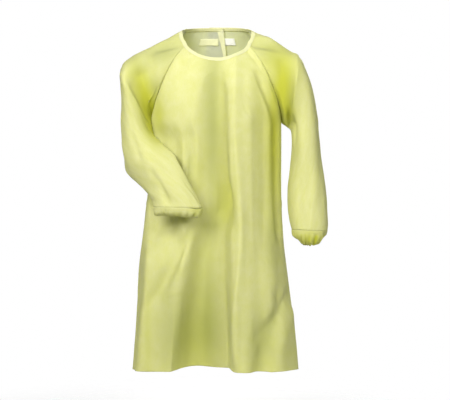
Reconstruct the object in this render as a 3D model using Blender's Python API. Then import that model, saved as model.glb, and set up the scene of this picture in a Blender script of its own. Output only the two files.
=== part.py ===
"""Exam gown, worn and hollow: panels, raglan sleeves, gathered cuffs, neck binding, tapes and waist ties.

Metres, +Z up. The origin is where the gown is held: between the shoulders, level with the neck's sides.
The front faces -Y. Left and right are the wearer's, so left is +X.
"""

import bmesh
import bpy
import numpy as np
from math import cos, pi, radians, sin

# ---- driving dimensions ----
CLOTH = 0.0016            # wall of every panel
SEAM_GAP = 0.0006         # between two panels at a seam
LAY_GAP = 0.0003          # between a panel and what lies on it
BINDING_WIDTH = 0.012
BINDING_WALL = 0.0010
BINDING_GAP = 0.0005      # between the binding and the cloth that it folds over
BINDING_EASE = 0.0010     # how much looser it lies on the sleeves
BINDING_PUCKER = 0.0019   # and at the neck's corners
BINDING_STEP = 0.1        # the binding's stations on a sleeve, as a share of a sleeve column
OVERLAP_LIFT = 0.0032     # each back half's distance from the middle of the overlap
OVERLAP_FADE = 0.75       # share of a quarter turn over which this lift dies out from the seam
UNDERARM_Z = -0.305
TOP_ROWS = 9              # grid rows from the underarm to the neck, shared with the sleeves
SKIRT_ROWS = 14           # grid rows from the hem to the underarm
FRONT_COLUMNS = ((-1.0, 0), (-0.36, 11), (0.05, 19), (0.17, 25), (1.0, 39))   # share, column there
HEM_LIFT = 0.027          # how much higher the hem hangs at the front
HEM_ROUNDNESS = 0.7
BACK_COLUMNS = 18
NECK_COLUMNS = 2          # sleeve columns along the neck, before and behind the shoulder
SLEEVE_COLUMNS = 2 * (TOP_ROWS + NECK_COLUMNS)
# A sleeve's columns along its seam to the front and to the back, from the underarm up.
FRONT_SEAM = np.arange(NECK_COLUMNS + TOP_ROWS, NECK_COLUMNS - 1, -1)
BACK_SEAM = np.arange(NECK_COLUMNS + TOP_ROWS, NECK_COLUMNS + 2 * TOP_ROWS + 1)
SQUARENESS = 2.3          # exponent of the body's rounded section
SEAM_HOLD = 1.6           # how fast the raglan seams' hollow dies out towards the centre
CHEST_FULLNESS = 0.010
BACK_FULLNESS = 0.022
FOLD_FADE = 0.12          # share of a fold's length over which it starts and ends
FOLD_GROWTH = 1.4         # how late along its length a fold deepens
FOLD_LEVEL = 0.3          # how much of a fold's push may point up or down
OUTER_EDGE = -0.17        # where the outer back half ends, as a share of a quarter turn
INNER_EDGE = 0.14         # where the inner back half ends

SLEEVE_ROUNDNESS = 0.92   # under 1 is squarer than an oval
SLEEVE_FOLD_FADE = 0.15   # share of the sleeve's length over which a fold starts and ends
SLEEVE_CLEAR = 0.005      # least distance of a sleeve from the plain body's section
SLEEVE_EASE = 0.03        # how softly a sleeve is turned away from the body
KEEP_OFF_FROM = 1         # rings below this one are kept off the body
KEEP_OFF_OVER = 3         # rings over which this sets in
SLEEVE_SMOOTHING = 2      # passes that even out a sleeve's inner side along its length
SEAM_OPENING = 0.5        # least rise of a sleeve's first ring from a panel beside the seam
SEAM_OPEN_TO = 0.6        # how far up the seam this reaches
SEAM_OPEN_SHARES = (1.0, 0.85, 0.65, 0.45, 0.25, 0.1)   # how much of it each ring takes
CORNER_FLATNESS = 0.95    # how flat a sleeve lies beside the neck's corners
SHOULDER_BLEND = (0.62, 0.28, 0.10)   # how much the first rings keep of the raglan seam's shape

# ---- neck opening ----
NECK_HALF_WIDTH = 0.1165
NECK_FRONT = 0.105
NECK_BACK = 0.090
NECK_ROUNDNESS = 0.85     # under 1 is squarer than an oval
NECK_FRONT_SLOPE = 0.93   # the front neckline drops this much for each metre forwards
NECK_BACK_SLOPE = 0.24
NECK_CORNER_FRONT = 58    # degrees round the neck from the front to the front raglan seam
NECK_CORNER_BACK = 122


def table(columns, *rows):
    """Named columns of numbers, one row for each section or fold."""
    return dict(zip(columns.split(), np.array(rows, float).T))


# Body sections from the hem up: half widths to each side and depths from the side seams.
BODY = table(
    "z       left   right  front  back",
    (-1.143, 0.2755, 0.2835, 0.205, 0.185),
    (-1.040, 0.266, 0.2745, 0.196, 0.176),
    (-0.890, 0.247, 0.267, 0.184, 0.162),
    (-0.770, 0.2315, 0.260, 0.172, 0.146),
    (-0.690, 0.222, 0.249, 0.162, 0.130),
    (-0.595, 0.2165, 0.236, 0.152, 0.118),
    (-0.500, 0.2155, 0.226, 0.148, 0.122),
    (-0.400, 0.216, 0.220, 0.150, 0.132),
    (UNDERARM_Z, 0.216, 0.218, 0.152, 0.138),
)

# Folds: where they start and end (height and share of a quarter turn from the centre line),
# their reach to each side there, and how far they push out (+) or in (-).
FOLD_COLUMNS = (
    "z_top z_low at_top at_low right_top right_low left_top left_low push_top push_low flat_top flat_low"
)
FRONT_FOLDS = table(
    FOLD_COLUMNS,
    # Centre valley
    (-0.10, -1.25, -0.020, -0.030, 0.17, 0.32, 0.13, 0.165, -0.008, -0.112, 0.01, 0.115),
    # Crisp ridge beside it
    (-0.14, -1.25, 0.200, 0.190, 0.14, 0.08, 0.18, 0.17, 0.006, 0.018, 0.0, 0.0),
    # Short trough
    (-0.32, -0.56, -0.240, -0.200, 0.09, 0.10, 0.09, 0.10, -0.009, -0.009, 0.0, 0.0),
    # Side fold, left
    (-0.12, -0.74, 0.700, 0.760, 0.15, 0.13, 0.13, 0.13, -0.010, -0.018, 0.0, 0.0),
    # Dent of the forearm
    (-0.30, -0.74, -0.560, -0.520, 0.34, 0.30, 0.32, 0.30, -0.022, -0.030, 0.1, 0.1),
    # Right lobe
    (-0.64, -1.25, -0.600, -0.640, 0.22, 0.20, 0.22, 0.24, 0.010, 0.026, 0.0, 0.0),
    # Slanting crease
    (-0.68, -0.96, -0.260, -0.560, 0.10, 0.12, 0.10, 0.12, -0.010, -0.012, 0.0, 0.0),
    # Slanting crease, left
    (-0.84, -1.14, 0.640, 0.300, 0.12, 0.12, 0.12, 0.12, -0.012, -0.012, 0.0, 0.0),
    # Left lobe
    (-0.60, -1.25, 0.480, 0.500, 0.20, 0.22, 0.20, 0.20, 0.004, 0.014, 0.0, 0.0),
)
BACK_FOLDS = table(
    FOLD_COLUMNS,
    (-0.14, -1.25, 0.300, 0.330, 0.16, 0.16, 0.16, 0.16, -0.006, -0.050, 0.0, 0.0),
    (-0.20, -1.25, -0.360, -0.340, 0.15, 0.17, 0.15, 0.17, -0.006, -0.042, 0.0, 0.0),
    (-0.50, -1.25, 0.680, 0.700, 0.13, 0.15, 0.13, 0.15, -0.006, -0.034, 0.0, 0.0),
    (-0.46, -1.25, -0.700, -0.690, 0.14, 0.16, 0.14, 0.16, -0.006, -0.038, 0.0, 0.0),
    (-0.40, -1.25, 0.040, 0.020, 0.20, 0.18, 0.20, 0.18, 0.003, 0.022, 0.04, 0.04),
    (-0.36, -0.72, 0.480, 0.540, 0.10, 0.12, 0.10, 0.12, -0.006, -0.010, 0.0, 0.0),
    (-0.34, -0.70, -0.520, -0.560, 0.11, 0.12, 0.11, 0.12, -0.006, -0.010, 0.0, 0.0),
)

# Raglan seams on the left, from the underarm up: two points between underarm and neck.
RAGLAN_FRONT = ((0.205, -0.090, -0.215), (0.152, -0.108, -0.110))
RAGLAN_BACK = ((0.205, 0.102, -0.205), (0.142, 0.104, -0.080))

# Sleeve rings from the shoulder down: the outer point and the inner point of each ring, its depth
# in front of and behind the line between them, how much narrower it is towards the inner point,
# the degrees that its front turns outwards from straight ahead, and the degrees that the grid's
# columns are turned round it on the inner side.
RING_COLUMNS = "out_x out_y out_z in_x in_y in_z front back egg face twist"
LEFT_RINGS = table(
    RING_COLUMNS,
    (0.173, 0.000, -0.020, 0.2190, 0.000, -0.309, 0.116, 0.112, 0.00, 0, 0),
    (0.212, 0.000, -0.046, 0.2225, 0.002, -0.313, 0.113, 0.108, 0.10, 0, 0),
    (0.249, 0.000, -0.070, 0.2265, 0.004, -0.317, 0.108, 0.102, 0.25, 0, 0),
    (0.274, 0.000, -0.089, 0.2315, 0.006, -0.320, 0.104, 0.096, 0.40, 0, 0),
    (0.2880, 0.000, -0.122, 0.2365, 0.008, -0.3225, 0.100, 0.090, 0.50, 0, 0),
    (0.3025, 0.000, -0.162, 0.2415, 0.010, -0.325, 0.097, 0.085, 0.52, 0, 0),
    (0.3155, 0.000, -0.210, 0.2470, 0.010, -0.328, 0.094, 0.080, 0.48, 0, 0),
    (0.3265, -0.002, -0.265, 0.2520, 0.008, -0.332, 0.091, 0.076, 0.36, 0, 0),
    (0.3365, -0.005, -0.320, 0.2550, 0.004, -0.339, 0.087, 0.073, 0.20, 0, 0),
    (0.3440, -0.010, -0.375, 0.2545, -0.002, -0.380, 0.082, 0.071, 0.08, 0, 0),
    (0.3495, -0.016, -0.430, 0.2500, -0.010, -0.432, 0.078, 0.068, 0.00, 0, 0),
    (0.3575, -0.022, -0.485, 0.2425, -0.016, -0.486, 0.074, 0.065, 0.00, 0, 0),
    (0.3640, -0.030, -0.540, 0.2350, -0.024, -0.540, 0.070, 0.061, 0.00, 0, 0),
    (0.3680, -0.038, -0.590, 0.2320, -0.032, -0.588, 0.065, 0.056, 0.00, 0, 0),
    (0.3690, -0.046, -0.635, 0.2390, -0.040, -0.632, 0.060, 0.052, 0.00, 0, 0),
    (0.3680, -0.052, -0.668, 0.2500, -0.047, -0.664, 0.054, 0.047, 0.00, 0, 0),
)
RIGHT_RINGS = table(
    RING_COLUMNS,
    (-0.186, 0.000, -0.034, -0.2225, 0.000, -0.3095, 0.114, 0.110, 0.00, 0, 0),
    (-0.238, 0.000, -0.060, -0.2240, 0.000, -0.314, 0.110, 0.104, 0.10, 0, 0),
    (-0.283, 0.000, -0.085, -0.2250, -0.004, -0.320, 0.106, 0.097, 0.28, 0, 3),
    (-0.3105, 0.000, -0.110, -0.2250, -0.014, -0.328, 0.103, 0.090, 0.40, 0, 7),
    (-0.3185, 0.000, -0.150, -0.2235, -0.030, -0.338, 0.100, 0.083, 0.42, 0, 11),
    (-0.3130, 0.000, -0.200, -0.2170, -0.051, -0.349, 0.098, 0.076, 0.36, 0, 15),
    (-0.2990, -0.002, -0.260, -0.2070, -0.074, -0.360, 0.095, 0.068, 0.26, 2, 18),
    (-0.2890, -0.006, -0.320, -0.1930, -0.098, -0.373, 0.089, 0.060, 0.16, 6, 20),
    (-0.2870, -0.013, -0.378, -0.1790, -0.120, -0.387, 0.082, 0.053, 0.06, 15, 20),
    (-0.2880, -0.024, -0.428, -0.1690, -0.142, -0.402, 0.075, 0.047, 0.00, 26, 18),
    (-0.2850, -0.044, -0.470, -0.1560, -0.162, -0.412, 0.068, 0.042, 0.00, 35, 15),
    (-0.2630, -0.072, -0.500, -0.1310, -0.178, -0.447, 0.062, 0.038, 0.00, 38, 11),
    (-0.2380, -0.104, -0.524, -0.1040, -0.190, -0.486, 0.056, 0.035, 0.00, 35, 8),
    (-0.2190, -0.136, -0.546, -0.0780, -0.198, -0.524, 0.050, 0.032, 0.00, 30, 5),
    (-0.2070, -0.160, -0.566, -0.0560, -0.203, -0.558, 0.044, 0.030, 0.00, 24, 2),
    (-0.2030, -0.174, -0.584, -0.0490, -0.205, -0.586, 0.038, 0.028, 0.00, 18, 0),
)

# Sleeve folds: where round the ring (degrees, 0 outer, 90 front, 180 inner) and along the sleeve
# (share of its length), their reach each way, and how far they push out (+) or in (-).
SLEEVE_FOLD_COLUMNS = "round_top round_low start end reach push"
LEFT_SLEEVE_FOLDS = table(
    SLEEVE_FOLD_COLUMNS,
    (84, 104, 0.20, 0.78, 30, 0.010),
    (128, 146, 0.16, 0.66, 36, -0.012),
    (300, 280, 0.30, 0.95, 34, -0.010),
    (230, 215, 0.22, 0.70, 32, -0.010),
    (60, 110, 0.60, 1.05, 30, -0.006),
)
RIGHT_SLEEVE_FOLDS = table(
    SLEEVE_FOLD_COLUMNS,
    (50, 128, 0.20, 0.66, 30, 0.010),
    (100, 150, 0.14, 0.50, 36, -0.007),
    (20, 62, 0.42, 0.78, 28, -0.006),
    (300, 270, 0.30, 0.70, 34, -0.008),
    (120, 150, 0.66, 1.05, 26, -0.006),
    (70, 92, 0.74, 1.05, 26, -0.005),
)

# Gathered cuffs: the opening's radius, where it lies from the sleeve's end, how many degrees it
# is turned to the back, and the gathers.
CUFF_OPENING = 0.025
CUFF_DROP = {"left": (-0.003, 0.010, -0.042), "right": (0.004, 0.026, -0.024)}
CUFF_TILT = {"left": 24, "right": 44}
CUFF_WIDE = 1.12          # the opening's width against a round one's
CUFF_BULGE = 0.003
CUFF_GATHERS = 16
CUFF_GATHER_DEPTH = 0.0030
CUFF_GATHER_RISE = 1.3    # how soon the gathers reach their depth
CUFF_COLUMNS = 64
CUFF_ROWS = 4

# Neck tapes: their distances under the neck's edge, and where they start and end across the back.
TAPE_WALL = 0.0012
TAPE_DROP = (0.037, 0.062)
HOOK_ACROSS = (-0.13, 0.37)
LOOP_ACROSS = (-0.36, 0.02)

# Waist ties, sewn in at the side seams and knotted behind.
TIE_WALL = 0.0012
TIE_Z = (-0.595, -0.569)  # lower and upper edge
TIE_SLACK = 0.0014        # how far a tie stands off the cloth between its root and the knot
TIE_SLACK_OVER = 0.15     # share of a quarter turn over which it comes away
TIE_LEAVES = 0.09         # where it leaves the back for the knot, as a share of a quarter turn
TIE_BEND = 0.55           # where it turns towards the knot, as a share of the way there
TIE_BOW = 0.003           # how far it lies forward there
TIE_STEP_OVER = (-0.40, -0.22)   # where the right tie rises over the outer half's edge
KNOT_SIZE = (0.034, 0.018, 0.032)
KNOT_BEVEL = 0.004
KNOT_SHARE = 0.0
TAIL_WIDTH = 0.024
TAIL_PINCH = 0.5          # its width at the knot, as a share of its full width
TAIL_WIDENS = 0.25        # share of its length over which it widens
TAIL_SETTLES = 0.45       # share of its length over which it comes to lie at its last distance
TAIL_STEPS = 10
# The loose ends, the left tie's and the right tie's: where each starts and ends across the back,
# as a share of a quarter turn, and how far it stands off the cloth there.
TAILS = table(
    "length start end off_start off_end",
    (0.262, 0.020, 0.110, 0.0095, 0.0040),
    (0.224, -0.020, -0.090, 0.0050, 0.0040),
)

SHARP_ANGLE = 50          # degrees between faces that are shaded with an edge
ROUGHNESS = 0.85
BACKWARDS = np.array([0.0, 1.0, 0.0])
YELLOW = (0.80, 0.80, 0.30)
PALE_YELLOW = (0.82, 0.84, 0.48)
WHITE = (0.92, 0.92, 0.90)


# ---- small mathematics ----
def smooth(x):
    """0 to 1 with level ends."""
    x = np.clip(x, 0.0, 1.0)
    return x * x * (3.0 - 2.0 * x)


def mix(a, b, share):
    return a + (b - a) * share


def unit(v):
    return v / np.maximum(np.linalg.norm(v, axis=-1, keepdims=True), 1e-12)


def bent(knots, values, x):
    """A smooth curve through the values at rising knots."""
    slope = np.gradient(values, knots)
    i = np.clip(np.searchsorted(knots, x) - 1, 0, len(knots) - 2)
    span = knots[i + 1] - knots[i]
    t = np.clip((x - knots[i]) / span, 0.0, 1.0)
    return (
        (1 + 2 * t) * (1 - t) ** 2 * values[i]
        + t * (1 - t) ** 2 * span * slope[i]
        + t * t * (3 - 2 * t) * values[i + 1]
        + t * t * (t - 1) * span * slope[i + 1]
    )


def signed_power(x, power):
    return np.sign(x) * np.abs(x) ** power


def bezier(points, t):
    a, b, c, d = (np.asarray(p)[None, :] for p in points)
    t = np.asarray(t)[:, None]
    return a * (1 - t) ** 3 + 3 * b * t * (1 - t) ** 2 + 3 * c * t * t * (1 - t) + d * t**3


def grid_normals(points):
    """A unit normal at each point of a grid of rows and columns."""
    along = np.gradient(points, axis=0)
    across = np.gradient(points, axis=1)
    return unit(np.cross(across, along))


# ---- the garment's lines ----
def neck_point(turn):
    """The neck's edge at a turn in degrees: 0 front, 90 left, 180 back."""
    a = np.radians(turn)
    x = NECK_HALF_WIDTH * signed_power(np.sin(a), NECK_ROUNDNESS)
    y = np.where(np.cos(a) > 0, -NECK_FRONT, -NECK_BACK) * np.cos(a)
    z = np.where(y < 0, NECK_FRONT_SLOPE, NECK_BACK_SLOPE) * y
    return np.stack([x, y, z], axis=-1)


def body_section(z, share, back):
    """A point of the plain body at height z; share runs -1 to 1 from the right to the left seam."""
    knots = BODY["z"]
    width = np.where(share > 0, bent(knots, BODY["left"], z), bent(knots, BODY["right"], z))
    depth = bent(knots, BODY["back" if back else "front"], z)
    turn = share * pi / 2
    x = width * signed_power(np.sin(turn), 2 / SQUARENESS)
    y = depth * signed_power(np.cos(turn), 2 / SQUARENESS) * (1 if back else -1)
    return np.stack([x, y, z + 0 * share], axis=-1)


def raglan_seam(side, back):
    """The seam's points from the underarm to the neck, one for each row of the body's top."""
    mirror = np.array([1.0 if side == "left" else -1.0, 1.0, 1.0])
    width = BODY[side][-1]
    start = np.array([width, 0.0, UNDERARM_Z])
    corner = neck_point(NECK_CORNER_BACK if back else NECK_CORNER_FRONT)
    middle = RAGLAN_BACK if back else RAGLAN_FRONT
    seam = bezier((start, *middle, corner), np.linspace(0, 1, TOP_ROWS + 1))
    return seam * mirror


def fold_push(folds, z, share):
    """How far the folds push the cloth out at a height and a share of a quarter turn."""
    push = 0.0 * z * share
    for row in zip(*folds.values()):
        top, low, at_top, at_low, rt, rl, lt, ll, push_top, push_low, flat_top, flat_low = row
        along = (top - z) / (top - low)
        run = np.clip(along, 0, 1)
        ends = smooth(along / FOLD_FADE) * smooth((1 - along) / FOLD_FADE)
        offset = share - mix(at_top, at_low, run)
        reach = np.where(offset < 0, mix(rt, rl, run), mix(lt, ll, run))
        flat = mix(flat_top, flat_low, run)
        away = (np.abs(offset) - flat) / (reach - flat)
        push += mix(push_top, push_low, run**FOLD_GROWTH) * ends * (1 - smooth(away))
    return push


def body_grid(shares, back):
    """Rows from hem to neck and columns at the given shares, with the folds."""
    shares = np.asarray(shares)
    level = np.cos(shares * pi / 2)
    hem = BODY["z"][0] + (0.0 if back else HEM_LIFT) * level**HEM_ROUNDNESS
    steps = np.linspace(0, 1, SKIRT_ROWS + 1)
    skirt = np.array([body_section(mix(hem, UNDERARM_Z, step), shares, back) for step in steps])
    t = np.linspace(0, 1, TOP_ROWS + 1)
    low = skirt[-1]
    corner = NECK_CORNER_BACK if back else NECK_CORNER_FRONT
    turn = 180 - (180 - corner) * shares if back else corner * shares
    high = neck_point(turn)
    ends = {side: raglan_seam(side, back) for side in ("left", "right")}
    top = []
    for j, step in enumerate(t):
        row = mix(low, high, step)
        for side, sign in (("left", 1), ("right", -1)):
            seam = ends[side]
            straight = mix(seam[0], seam[-1], step)
            weight = ((1 + sign * shares) / 2)[:, None] * np.ones(3)
            weight[:, 1] *= np.abs(shares) ** SEAM_HOLD
            row = row + weight * (seam[j] - straight)
        chest = np.sin(pi * step) * level
        row[:, 1] += (BACK_FULLNESS if back else -CHEST_FULLNESS) * chest
        top.append(row)
    grid = np.concatenate([skirt, np.array(top)[1:]])
    out = grid_normals(grid) * (-1 if back else 1)
    folds = BACK_FOLDS if back else FRONT_FOLDS
    push = fold_push(folds, grid[:, :, 2], np.broadcast_to(shares, grid.shape[:2]))
    out[:, :, 2] *= FOLD_LEVEL
    return grid + out * push[:, :, None]


def back_shares(side):
    ends = (OUTER_EDGE, 1.0) if side == "left" else (-1.0, INNER_EDGE)
    return np.linspace(*ends, BACK_COLUMNS + 1)


def back_half(side):
    """One half of the back, past the centre line, lifted out or in where the halves overlap."""
    sign = 1 if side == "left" else -1
    shares = back_shares(side)
    grid = body_grid(shares, True)
    lift = OVERLAP_LIFT * sign * smooth((1 - np.abs(shares)) / OVERLAP_FADE)
    out = -grid_normals(grid)
    return grid + out * lift[None, :, None]


def front_panel():
    shares, columns = zip(*FRONT_COLUMNS)
    return body_grid(np.interp(np.arange(columns[-1] + 1), columns, shares), False)


def kept_off_body(points, side):
    """Points moved out along the body's section until they stand clear of the plain body."""
    x, y, z = np.moveaxis(points, -1, 0)
    level = np.clip(z, BODY["z"][0], UNDERARM_Z)
    width = bent(BODY["z"], BODY[side], level)
    depth = np.where(y < 0, bent(BODY["z"], BODY["front"], level), bent(BODY["z"], BODY["back"], level))
    reach = ((np.abs(x) / width) ** SQUARENESS + (np.abs(y) / depth) ** SQUARENESS) ** (1 / SQUARENESS)
    short = 1 + SLEEVE_CLEAR / np.hypot(x, y) - reach
    lift = (short + np.hypot(short, SLEEVE_EASE)) / 2
    grown = points * (1 + lift / reach)[..., None]
    grown[..., 2] = z
    return grown


def sleeve_grid(side):
    """Rings from the raglan seam to the sleeve's end, columns once round from the shoulder by the front."""
    sign = 1 if side == "left" else -1
    rings = LEFT_RINGS if side == "left" else RIGHT_RINGS
    folds = LEFT_SLEEVE_FOLDS if side == "left" else RIGHT_SLEEVE_FOLDS
    shoulder_to_corner = np.linspace(90, NECK_CORNER_FRONT, NECK_COLUMNS + 1)[:-1]
    corner_to_shoulder = np.linspace(NECK_CORNER_BACK, 90, NECK_COLUMNS + 1)[1:-1]
    mirror = np.array([sign, 1.0, 1.0])
    loop = np.concatenate([
        neck_point(shoulder_to_corner) * mirror,
        raglan_seam(side, False)[::-1],
        raglan_seam(side, True)[1:],
        neck_point(corner_to_shoulder) * mirror,
    ])
    turn = np.arange(SLEEVE_COLUMNS) * 2 * pi / SLEEVE_COLUMNS
    inner_side = ((1 - np.cos(turn)) / 2) ** 2
    outer = np.stack([rings["out_x"], rings["out_y"], rings["out_z"]], axis=-1)
    inner = np.stack([rings["in_x"], rings["in_y"], rings["in_z"]], axis=-1)
    middle = (outer + inner) / 2
    chord = outer - middle
    face = np.radians(rings["face"])
    ahead = np.stack([sign * np.sin(face), -np.cos(face), 0 * face], axis=-1)
    line = unit(chord)
    forward = unit(ahead - line * (ahead * line).sum(axis=-1, keepdims=True))
    count = len(middle)
    grid = [loop]
    for k in range(count):
        at = turn + np.radians(rings["twist"][k]) * inner_side
        depth = np.where(np.sin(at) > 0, rings["front"][k], rings["back"][k])
        depth = depth * (1 + rings["egg"][k] * np.cos(at))
        ring = (
            middle[k]
            + chord[k] * signed_power(np.cos(at), SLEEVE_ROUNDNESS)[:, None]
            + forward[k] * (depth * signed_power(np.sin(at), SLEEVE_ROUNDNESS))[:, None]
        )
        grid.append(ring)
    grid = np.array(grid)
    for k, share in enumerate(SHOULDER_BLEND, start=1):
        near_loop = mix(loop, grid[len(SHOULDER_BLEND) + 1], k / (len(SHOULDER_BLEND) + 1))
        grid[k] = mix(grid[k], near_loop, share * np.abs(np.sin(turn))[:, None])
    for corner in (NECK_COLUMNS, -NECK_COLUMNS):
        before, at, after = loop[corner - 1], loop[corner], loop[corner + 1]
        up = unit(np.cross(before - at, after - at))
        grid[1, corner] -= CORNER_FLATNESS * up * ((grid[1, corner] - at) @ up)
    out = grid_normals(np.concatenate([grid[:, -1:], grid, grid[:, :1]], axis=1))[:, 1:-1]
    centre = grid.mean(axis=1, keepdims=True)
    facing = np.sign(((grid - centre) * out).sum(axis=-1).mean())
    along = np.linspace(0, 1, len(grid))[:, None]
    degrees = np.degrees(turn)[None, :]
    push = np.zeros(grid.shape[:2])
    for top, low, start, end, reach, amount in zip(*folds.values()):
        run = np.clip((along - start) / (end - start), 0, 1)
        ends = smooth((along - start) / SLEEVE_FOLD_FADE) * smooth((end - along) / SLEEVE_FOLD_FADE)
        away = np.abs((degrees - mix(top, low, run) + 180) % 360 - 180)
        push += amount * ends * (1 - smooth(away / reach))
    grid = grid + out * facing * push[:, :, None]
    free = smooth((np.arange(len(grid)) - KEEP_OFF_FROM) / KEEP_OFF_OVER)[:, None, None]
    grid = mix(grid, kept_off_body(grid, side), free)
    evening = (1 - np.cos(turn))[None, :, None] / 4
    for _ in range(SLEEVE_SMOOTHING):
        grid[2:-1] = mix(grid[2:-1], (grid[1:-2] + grid[3:]) / 2, evening)
    return grid


def open_seam(grid, columns, edge, outward):
    """Turns a sleeve's first rings away from a panel where they lie too flat on it, near the underarm."""
    reach = grid[1, columns] - edge
    away = (reach * outward).sum(axis=1)
    short = np.maximum(SEAM_OPENING * np.linalg.norm(reach, axis=1) - away, 0.0)
    short *= 1 - smooth(np.arange(len(columns)) / len(columns) / SEAM_OPEN_TO)
    for ring, share in enumerate(SEAM_OPEN_SHARES, start=1):
        grid[ring, columns] += (share * short)[:, None] * outward


def round_ring(ring):
    """Values at a sleeve ring's columns, read at the cuff's finer columns."""
    turn = np.arange(CUFF_COLUMNS) / CUFF_COLUMNS
    columns = np.arange(SLEEVE_COLUMNS + 1) / SLEEVE_COLUMNS
    joined = np.concatenate([ring, ring[:1]])
    return np.stack([np.interp(turn, columns, joined[:, axis]) for axis in range(3)], axis=-1)


def cuff_grid(side, end_ring):
    """From the sleeve's end, turned under to the gathered opening."""
    turn = np.arange(CUFF_COLUMNS) * 2 * pi / CUFF_COLUMNS
    start = round_ring(end_ring)
    centre = start.mean(axis=0)
    target = centre + np.array(CUFF_DROP[side])
    across = unit(end_ring[0] - end_ring[SLEEVE_COLUMNS // 2])
    ahead = unit(across * (BACKWARDS @ across) - BACKWARDS)
    down = unit(np.cross(across, ahead))
    down *= np.sign(down @ (target - centre))
    tilt = radians(CUFF_TILT[side])
    wide = across * (CUFF_OPENING * CUFF_WIDE) * np.cos(turn)[:, None]
    deep = (ahead * cos(tilt) + down * sin(tilt)) * (CUFF_OPENING / CUFF_WIDE) * np.sin(turn)[:, None]
    end = target + wide + deep
    outward = unit(start - centre)
    gathers = np.cos(CUFF_GATHERS * turn)[:, None]
    rows = []
    for step in np.linspace(0, 1, CUFF_ROWS + 1):
        flat = mix(start, end, 1 - np.cos(step * pi / 2))
        level = mix(start @ down, end @ down, np.sin(step * pi / 2))
        row = flat + (level - flat @ down)[:, None] * down
        row += outward * CUFF_BULGE * np.sin(pi * step)
        row += outward * CUFF_GATHER_DEPTH * smooth(step * CUFF_GATHER_RISE) * gathers
        rows.append(row + down * SEAM_GAP * (1 - step))
    return np.array(rows)


# ---- solids ----
def material(name, colour, roughness):
    made = bpy.data.materials.new(name)
    made.use_nodes = True
    shader = made.node_tree.nodes["Principled BSDF"]
    shader.inputs["Base Color"].default_value = (*colour, 1.0)
    shader.inputs["Roughness"].default_value = roughness
    shader.inputs["Metallic"].default_value = 0.0
    return made


def add_object(mesh, colour):
    """A mesh's object, named as the mesh, with its own material."""
    mesh.materials.append(material(mesh.name, colour, ROUGHNESS))
    mesh.shade_smooth()
    mesh.set_sharp_from_angle(angle=radians(SHARP_ANGLE))
    made = bpy.data.objects.new(mesh.name, mesh)
    gown.objects.link(made)
    return made


def add_mesh(name, points, faces, colour):
    mesh = bpy.data.meshes.new(name)
    mesh.from_pydata([tuple(p) for p in points], [], faces)
    mesh.validate()
    add_object(mesh, colour)


def wall(name, points, out, thickness, colour, closed=False):
    """A closed wall on both sides of a grid of points; closed joins the last column to the first."""
    rows, columns = points.shape[:2]
    count = rows * columns
    half = out * thickness / 2
    corners = np.concatenate([(points + half).reshape(-1, 3), (points - half).reshape(-1, 3)])

    def at(i, j, inner=False):
        return i * columns + j % columns + (count if inner else 0)

    last = columns if closed else columns - 1
    faces = []
    for i in range(rows - 1):
        for j in range(last):
            faces.append((at(i, j), at(i, j + 1), at(i + 1, j + 1), at(i + 1, j)))
            faces.append((at(i, j, 1), at(i + 1, j, 1), at(i + 1, j + 1, 1), at(i, j + 1, 1)))
    for j in range(last):
        faces.append((at(0, j), at(0, j, 1), at(0, j + 1, 1), at(0, j + 1)))
        faces.append((at(rows - 1, j), at(rows - 1, j + 1), at(rows - 1, j + 1, 1), at(rows - 1, j, 1)))
    if not closed:
        for i in range(rows - 1):
            faces.append((at(i, 0), at(i + 1, 0), at(i + 1, 0, 1), at(i, 0, 1)))
            faces.append((at(i, last), at(i, last, 1), at(i + 1, last, 1), at(i + 1, last)))
    a, b, c = (corners[at(i, j)] for i, j in ((0, 0), (0, 1), (1, 0)))
    if np.dot(np.cross(b - a, c - a), out[0, 0]) < 0:
        faces = [face[:1] + face[:0:-1] for face in faces]
    add_mesh(name, corners, faces, colour)


def shared_normals(grids, closed):
    """Normals at all grids' points, equal where grids share a point, so that walls meet edge to edge."""
    sums = {}
    keys = {}
    for name, points in grids.items():
        rows, columns = points.shape[:2]
        total = np.zeros_like(points)
        for i in range(rows - 1):
            for j in range(columns if closed[name] else columns - 1):
                k = (j + 1) % columns
                corners = ((i, j), (i, k), (i + 1, k), (i + 1, j))
                a, b, c, d = (points[corner] for corner in corners)
                facing = np.cross(c - a, d - b)
                for corner in corners:
                    total[corner] += facing
        middle = points.mean(axis=1)[:, None] if closed[name] else points * np.array([0.0, 0.0, 1.0])
        total *= np.sign((total * (points - middle)).sum())
        own = unit(total)
        if closed[name]:
            own[0, NECK_COLUMNS + TOP_ROWS] *= 2   # the underarm point, where two panels end
        keys[name] = np.round(points * 1e6).astype(np.int64)
        for spot, value in zip(keys[name].reshape(-1, 3), own.reshape(-1, 3)):
            sums[tuple(spot)] = sums.get(tuple(spot), 0) + value
    return {
        name: unit(np.array([[sums[tuple(spot)] for spot in row] for row in key]))
        for name, key in keys.items()
    }


def pulled_in(points, edges, ring):
    """The grid with its seam edges drawn back by half the seam gap."""
    made = points.copy()
    half = SEAM_GAP / 2
    if "first_row" in edges:
        made[0] += half * unit(points[1] - points[0])
    if "last_row" in edges:
        made[-1] += half * unit(points[-2] - points[-1])
    if "first_column" in edges and not ring:
        made[:, 0] += half * unit(points[:, 1] - points[:, 0])
    if "last_column" in edges and not ring:
        made[:, -1] += half * unit(points[:, -2] - points[:, -1])
    return made


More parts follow.
